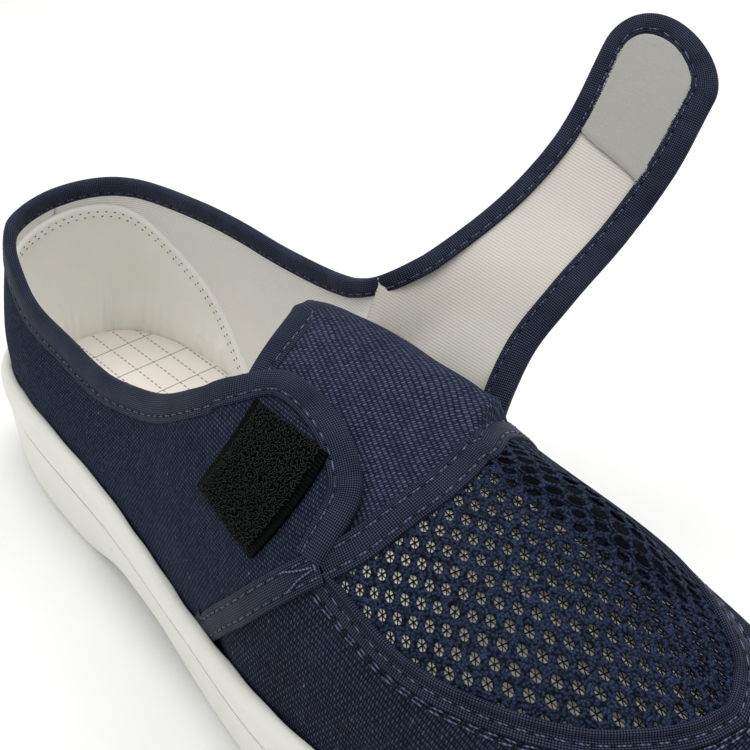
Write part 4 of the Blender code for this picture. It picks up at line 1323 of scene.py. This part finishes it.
def add_mesh():
    """Spacer mesh: a net of round holes, the crossed yarns in each hole, and the cream backing behind."""
    i, j = np.meshgrid(np.arange(*CELLS_ALONG), np.arange(*CELLS_ACROSS), indexing="ij")
    cells = np.stack([i * math.sqrt(3) / 2, j + 0.5 * (i % 2), np.zeros(i.shape)], axis=-1)
    flat = (cells * MESH_PITCH).reshape(-1, 3)
    flat = flat[flat[:, 0] < MESH_LENGTHS[-1] + 1 * MM]
    places = ridge_places(flat)
    inside = in_mesh(places, -0.03)
    flat, places = flat[inside], places[inside]
    ups = np.broadcast_to((0.0, 0.0, 1.0), flat.shape)
    closed = openness(places) < 0.5
    cells = frames(flat, np.broadcast_to((1.0, 0.0, 0.0), flat.shape), ups, (1, 1, 1))
    nets = (
        ("mesh_net", MESH_HOLE, MESH_THICKNESS, closed),
        ("open_mesh_net", OPEN_HOLE, OPEN_THICKNESS, ~closed),
    )
    for name, hole, thickness, chosen in nets:
        net = repeated(mesh_cell(hole), cells[chosen])
        bmesh.ops.remove_doubles(net, verts=net.verts, dist=0.05 * MM)
        bmesh.ops.recalc_face_normals(net, faces=net.faces)
        if sum(face.normal.z for face in net.faces) < 0:
            bmesh.ops.reverse_faces(net, faces=net.faces)
        laid_on_vamp(net, MESH_LEVEL)
        finish_piece(name, net, MESH, "upper", thickness=thickness, smooth_levels=1)
    crossed = []
    for k in range(3):
        turn = k * math.pi / 3 + chance.normal(0.0, 0.07, closed.sum())
        along = np.stack([np.cos(turn), np.sin(turn), np.zeros_like(turn)], axis=1)
        crossed.append(frames(flat[closed], along, ups[closed], (2.4 * MESH_HOLE, YARN_WIDTH, YARN_HEIGHT)))
    bar = bmesh.new()
    bmesh.ops.create_cube(bar, size=1.0)
    yarns = repeated(bar, np.concatenate(crossed))
    laid_on_vamp(yarns, YARN_LEVEL)
    finish_piece("mesh_yarns", yarns, MESH_YARN, "upper")
    toe = np.where(toe_path[:, :1] > TOE_TIP, (ROWS, 2) - toe_path, toe_path)
    places = panel(seam_path, toe, (90, 60))
    forward = places[..., 0] + BACKING_SLANT * (places[..., 1] - 0.6)
    falls = BACKING_FALL * smoothstep(*BACKING_SPAN, forward)
    level = BACKING_LEVEL - falls + (OPEN_LEVEL - BACKING_LEVEL) * openness(places)
    add_panel("mesh_backing", places, level, vamp_cloth, MESH_BACKING, "upper", BACKING_THICKNESS)
    # A dark sheet of painted shade under the open mesh, seen through its holes
    medial = toe[::-1][: len(toe) // 2]
    edge = np.linspace(*SHADE_SHEET_EDGE, SHADE_SHEET_STEPS[0])
    places = panel(edge, medial[medial[:, 0] < SHADE_SHEET_EDGE[1][0]], SHADE_SHEET_STEPS)
    share = np.linspace(0, 1, SHADE_SHEET_STEPS[1] + 1) ** 2
    level = SHADE_SHEET_LEVELS[0] * (1 - share) + SHADE_SHEET_LEVELS[1] * share
    level = level + SHADE_SHEET_SWELL * creased(places, MESH_SWELLS)
    add_panel("painted_shade_under_open_mesh", places, level, vamp_cloth, MESH_PAINTED_SHADE, "upper", BACKING_THICKNESS)


# Flat tapes over seams: distance across the tape, level over the cloth. The toe tape has a cord at its edge
TAPE_PROFILE = np.array((
    (-3.5, -1.3), (-3.5, 0.25), (-3.1, 0.42), (-2.4, 0.4), (-2.0, 0.26), (-1.5, 0.42), (0.0, 0.52),
    (1.5, 0.42), (2.0, 0.26), (2.4, 0.4), (3.1, 0.42), (3.5, 0.25), (3.5, -0.6),
)) * MM
TOE_TAPE_PROFILE = np.array((
    (-3.2, -0.5), (-3.2, 0.2), (-2.9, 0.38), (-2.2, 0.42), (-1.7, 0.42), (-1.3, 0.26), (-0.9, 0.42),
    (-0.5, 0.42), (-0.2, 0.25), (0.1, 0.5), (0.4, 0.95), (0.9, 1.1), (1.35, 0.9), (1.6, 0.3), (1.65, -0.6),
)) * MM
TAPE_STITCHES = (4, 8)
TOE_STITCHES = (5,)
SEAM_TAPE_LEVEL = VAMP_LEVEL + 0.45 * MM
TOE_TAPE_LEVEL = VAMP_LEVEL + 0.15 * MM
MEDIAL_TAPE = ((11.38, 0.37), (11.62, 0.20), (WING_FOOT[1], CANVAS_FOOT))
PALE_ROWS = (-3.75 * MM, -4.65 * MM)
# The thread's turn on the end of the tab tape: path steps where it leaves the rows, narrows and turns
TURN_START, TURN_NARROW, TURN_TIP = 9, 5, 1
TURN_RAISE = 0.4 * MM
TURN_PITCH, TURN_LENGTH, TURN_RADIUS = 1.5 * MM, 1.9 * MM, 0.24 * MM


def add_tapes():
    """Grosgrain tapes sewn over the seams: tab to sole, medial side, tongue to mesh, and mesh to mudguard."""
    tapes = (
        ("tab_tape", tape_path[::-1], TAPE_PROFILE, TAPE_STITCHES),
        ("medial_tape", upper_path(MEDIAL_TAPE), TAPE_PROFILE, TAPE_STITCHES),
        ("seam_tape", seam_path, TAPE_PROFILE + (0, SEAM_TAPE_LEVEL), TAPE_STITCHES),
        ("toe_tape", toe_path, TOE_TAPE_PROFILE + (0, TOE_TAPE_LEVEL), TOE_STITCHES),
    )
    rows = []
    for name, path, profile, sewn in tapes:
        points = strip(path, profile)
        ups = upper_normals(path)
        add_cloth(name, points, ups[:, None], GROSGRAIN, "upper")
        rows += [(points[:, k] + STITCH_RAISE * ups, ups) for k in sewn]
    stitch_rows("tape_stitches", rows, THREAD, "upper")
    (left, ups), (right, _) = rows[:2]
    stops = ((TURN_START, 0.0), (TURN_NARROW, 0.3), (TURN_TIP, 0.5), (TURN_NARROW, 0.7), (TURN_START, 1.0))
    turn = np.stack([left[k] * (1 - share) + right[k] * share for k, share in stops])
    turn = spline(np.arange(5), turn, np.linspace(0, 4, 25)) + ups[0] * TURN_RAISE
    places = dashes(turn, np.broadcast_to(ups[0], turn.shape), TURN_PITCH, TURN_LENGTH, TURN_RADIUS)
    finish_piece("tape_stitch_turn", repeated(stitch_shape(), places), PALE_THREAD, "upper")
    ups = upper_normals(toe_path)
    rows = [(beside(toe_path, distance, VAMP_LEVEL + STITCH_RAISE), ups) for distance in PALE_ROWS]
    stitch_rows("toe_stitches", rows, PALE_THREAD, "upper")


# Hook tape. Its hooks are drawn larger and fewer than real ones, so that they show
HOOK_STEPS = (40, 44)
HOOK_LEVEL, HOOK_BASE = GAP + 0.7 * MM, 0.9 * MM
HOOK_COLUMNS, HOOK_LINES = 32, 40
HOOK_REACH, HOOK_THICKNESS, HOOK_RAISE = 0.38 * MM, 0.12 * MM, 0.3 * MM
HOOK_JITTER, HOOK_TWIST = 0.35, 1.2
SELVAGE = 0.085


def add_hook_patch():
    """Black hook tape on the tab: a woven base with ribbed selvages, and rows of small hooks."""
    corners = np.array(HOOK_CORNERS)
    sides = np.linspace(corners[0], corners[3], 40), np.linspace(corners[1], corners[2], 40)
    places = panel(*sides, HOOK_STEPS)
    across, up = (np.linspace(0, 1, n + 1) for n in HOOK_STEPS)
    bends = HOOK_BENDS[0] + (HOOK_BENDS[1] - HOOK_BENDS[0]) * across[:, None]
    places[..., 0] += bends * 4 * up * (1 - up)
    normals = upper_normals(places)
    base = upper(places[..., 0], places[..., 1], np.full(places.shape[:-1], HOOK_LEVEL))
    bm = laid_grid(base, grid_lengths(base)[..., ::-1], normals)
    finish_piece("hook_base", bm, HOOK_TAPE, "hook_patch", thickness=HOOK_BASE)
    i, j = (k.ravel() for k in np.meshgrid(np.arange(HOOK_COLUMNS), np.arange(HOOK_LINES), indexing="ij"))
    u = SELVAGE + (1 - 2 * SELVAGE) * (i + 0.25 + 0.5 * (j % 2)) / HOOK_COLUMNS
    v = (j + 0.5) / HOOK_LINES
    at = [k * n + chance.uniform(-HOOK_JITTER, HOOK_JITTER, k.size) for k, n in zip((u, v), HOOK_STEPS)]
    a, b = (k.astype(int) for k in at)
    forward, ups = unit(base[a, b + 1] - base[a, b]), normals[a, b]
    turn = (chance.uniform(-HOOK_TWIST, HOOK_TWIST, len(a)) + np.pi * (i % 2))[:, None]
    ahead = forward * np.cos(turn) + np.cross(ups, forward) * np.sin(turn)
    sizes = chance.uniform(0.85, 1.15, (len(a), 1)) * np.ones(3)
    hook = arched_filament(HOOK_REACH, HOOK_THICKNESS, math.radians(220), 5)
    hooks = repeated(hook, frames(between(base, *at) + ups * HOOK_RAISE, ahead, ups, sizes))
    finish_piece("hook_rows", hooks, HOOK_FILAMENT, "hook_patch")


# Loop tape. Its fibres are drawn thicker and fewer than real ones, so that they show
LOOP_STEPS = (70, 44)
LOOP_LEVEL, LOOP_THICKNESS = WALL + GAP + 0.15 * MM, 0.4 * MM
LOOP_CROWN, LOOP_UNEVEN = 0.25 * MM, 0.015 * MM
LOOP_FIBRES = 1500
FIBRE_SIZES, EDGE_FIBRE = (0.08, 0.16), 2.4


def add_loop_patch():
    """White loop tape near the strap's end: a napped pad with a rounded end, and fine fibres."""
    along, across = LOOP_STEPS
    start = LOOP_START * STRAP_LENGTH - LOOP_SLANT * np.linspace(0, 1, across + 1)
    grid = strap_grid(start, LOOP_SIDES, STRAP_TIP_RADIUS - LOOP_MARGIN, LOOP_STEPS)
    out = -strap_out(grid)
    edge = np.minimum(np.arange(across + 1), np.arange(across, -1, -1)) / 6
    crown = LOOP_CROWN * np.clip(edge, 0, 1) ** 0.5 * np.clip(np.arange(along + 1) / 3, 0, 1)[:, None]
    nap = chance.normal(0, LOOP_UNEVEN, grid.shape[:2])
    top = grid + out * (LOOP_LEVEL + crown + nap)[..., None]
    # The nap's grey is partly the nylon's own and partly painted shade of the strap's bent tip
    add_cloth("loop_base", top, out, SHADED_LOOP_NAP, "loop_patch", thickness=LOOP_THICKNESS)
    at_edge = chance.random(LOOP_FIBRES) < 0.5
    a = chance.integers(0, along + 1, LOOP_FIBRES)
    edges = across * chance.integers(0, 2, LOOP_FIBRES)
    b = np.where(at_edge, edges, chance.integers(1, across, LOOP_FIBRES))
    ups = unit(out[a, b] + chance.normal(0, 0.6, (LOOP_FIBRES, 3)))
    ahead = np.cross(ups, chance.normal(0, 1, (LOOP_FIBRES, 3)))
    sizes = chance.uniform(*FIBRE_SIZES, (LOOP_FIBRES, 1)) * MM * np.where(at_edge, EDGE_FIBRE, 1.0)[:, None]
    fibre = arched_filament(1.0, 0.1, math.pi, 6)
    loops = repeated(fibre, frames(top[a, b], ahead, ups, sizes * np.ones(3)))
    finish_piece("loop_fibres", loops, LOOP_FIBRE, "loop_patch")


# Heel pocket, and its turned hem: distance from its edge, and level over the pocket
POCKET_LEVEL = -WALL - 0.5 * MM
POCKET_THICKNESS = 0.6 * MM
POCKET_FOLDS, POCKET_CRUMPLES, POCKET_SAG = 0.25 * MM, 0.3 * MM, 0.4 * MM
HEM_PROFILE = np.array((
    (0.3, 0.6), (0.35, -0.2), (0.0, -0.75), (-0.6, -0.9), (-1.4, -0.75), (-1.9, -0.6), (-2.4, -0.75),
    (-3.1, -0.75), (-3.6, -0.6), (-4.2, -0.7), (-4.6, -0.4), (-4.7, 0.2),
)) * MM
HEM_STITCHES = (5, 8)
HEM_PITCH, HEM_HOLE_LENGTH, HEM_HOLE_RADIUS = 2.6 * MM, 0.7 * MM, 0.27 * MM


def add_heel_pocket():
    """Coated heel pocket over the lining: a hem with two rows of needle holes, and crumples at its foot."""
    top = upper_path(POCKET_TOP)
    places = panel(lip_line(POCKET_TOP[0][0], POCKET_TOP[-1][0], LINING_FOOT), top, (240, 40))
    row, wall = places[..., 0], places[..., 1]
    folds = POCKET_FOLDS * np.sin(row * 5.0 + 1.2 * np.sin(wall * 6)) * smoothstep(0.0, 0.3, wall)
    crumples = POCKET_CRUMPLES * np.sin(row * 31 + 3 * np.sin(row * 9) + wall * 14)
    level = POCKET_LEVEL - POCKET_SAG * (1 - smoothstep(0.0, 0.25, wall))
    level = level + folds + crumples * (1 - smoothstep(0.0, 0.22, wall))
    add_panel("heel_pocket", places, level, quarter_cloth, POCKET, "upper", POCKET_THICKNESS, inside=True)
    inwards = -upper_normals(top)
    hem = strip(top, HEM_PROFILE + (0, POCKET_LEVEL))
    add_cloth("pocket_hem", hem, inwards[:, None], POCKET, "upper")
    # Grey dashes along the hem: painted shade in its needle holes
    holes = [dashes(hem[:, k], inwards, HEM_PITCH, HEM_HOLE_LENGTH, HEM_HOLE_RADIUS) for k in HEM_STITCHES]
    finish_piece("pocket_needle_hole_shade", repeated(stitch_shape(), np.concatenate(holes)), HOLE_DARK, "upper")


WORLD_STRENGTH = 0.60
# Soft lamps: name, place, target, size and power
LAMPS = (
    ("overhead_softbox", (0.02, 0.24, 1.00), (0.06, 0.0, 0.03), 0.9, 7.2),
    ("heel_softbox", (-0.25, -0.35, 0.8), (0.03, 0.0, 0.05), 0.5, 0.8),
)


def add_stage():
    """Pale floor and soft light."""
    bm = bmesh.new()
    bmesh.ops.create_grid(bm, x_segments=1, y_segments=1, size=3.0)
    mesh = bpy.data.meshes.new("floor")
    bm.to_mesh(mesh)
    bm.free()
    # Matt white card, with a grain so faint that it only breaks up the flat tone
    material, add = new_material("matt_white_floor")
    place = add("TexCoord", output="Object")
    grain = add("TexNoise", Vector=place, Scale=1 / (25 * MM), Detail=2.0)
    colour = add("Mix", grain, "#f6f6f5", "#fbfbfa", data_type="RGBA")
    dress(material, Base_Color=colour, Roughness=0.9)
    mesh.materials.append(material)
    floor = bpy.data.objects.new("floor", mesh)
    bpy.context.scene.collection.objects.link(floor)
    world = bpy.data.worlds.new("studio")
    world.use_nodes = True
    sky = world.node_tree.nodes["Background"].inputs
    sky["Color"].default_value = (1.0, 1.0, 1.0, 1.0)
    sky["Strength"].default_value = WORLD_STRENGTH
    bpy.context.scene.world = world
    for name, at, target, size, power in LAMPS:
        light = bpy.data.lights.new(name, "AREA")
        light.size = size
        light.energy = power
        lamp = bpy.data.objects.new(name, light)
        lamp.location = at
        lamp.rotation_euler = (Vector(target) - Vector(at)).to_track_quat("-Z", "Y").to_euler()
        bpy.context.scene.collection.objects.link(lamp)


CAMERA_PLACE = (286.7 * MM, -139.2 * MM, 223.0 * MM)
CAMERA_AZIMUTH, CAMERA_ELEVATION, CAMERA_ROLL = (math.radians(a) for a in (49.8, 33.1, -1.8))
FOCAL_PIXELS, IMAGE_PIXELS, SENSOR = 1193.0, 750.0, 36.0


def add_camera():
    """Camera at the photograph's angle."""
    camera = bpy.data.cameras.new("camera")
    camera.sensor_width = SENSOR
    camera.lens = FOCAL_PIXELS / IMAGE_PIXELS * SENSOR
    camera.clip_start = 0.01
    flat = math.cos(CAMERA_ELEVATION)
    back = Vector((
        math.sin(CAMERA_AZIMUTH) * flat,
        -math.cos(CAMERA_AZIMUTH) * flat,
        math.sin(CAMERA_ELEVATION),
    ))
    right = Vector((math.cos(CAMERA_AZIMUTH), math.sin(CAMERA_AZIMUTH), 0))
    up = back.cross(right)
    turned = right * math.cos(CAMERA_ROLL) + up * math.sin(CAMERA_ROLL)
    upright = up * math.cos(CAMERA_ROLL) - right * math.sin(CAMERA_ROLL)
    place = Matrix((turned, upright, back)).transposed().to_4x4()
    place.translation = CAMERA_PLACE
    eye = bpy.data.objects.new("camera", camera)
    eye.matrix_world = place
    bpy.context.scene.collection.objects.link(eye)
    bpy.context.scene.camera = eye
    bpy.context.scene.view_settings.view_transform = "Standard"


add_camera()
add_stage()
add_sole()
add_insole()
add_quarters()
add_strap()
add_binding()
add_tongue()
add_mudguard()
add_mesh()
add_tapes()
add_hook_patch()
add_loop_patch()
add_heel_pocket()
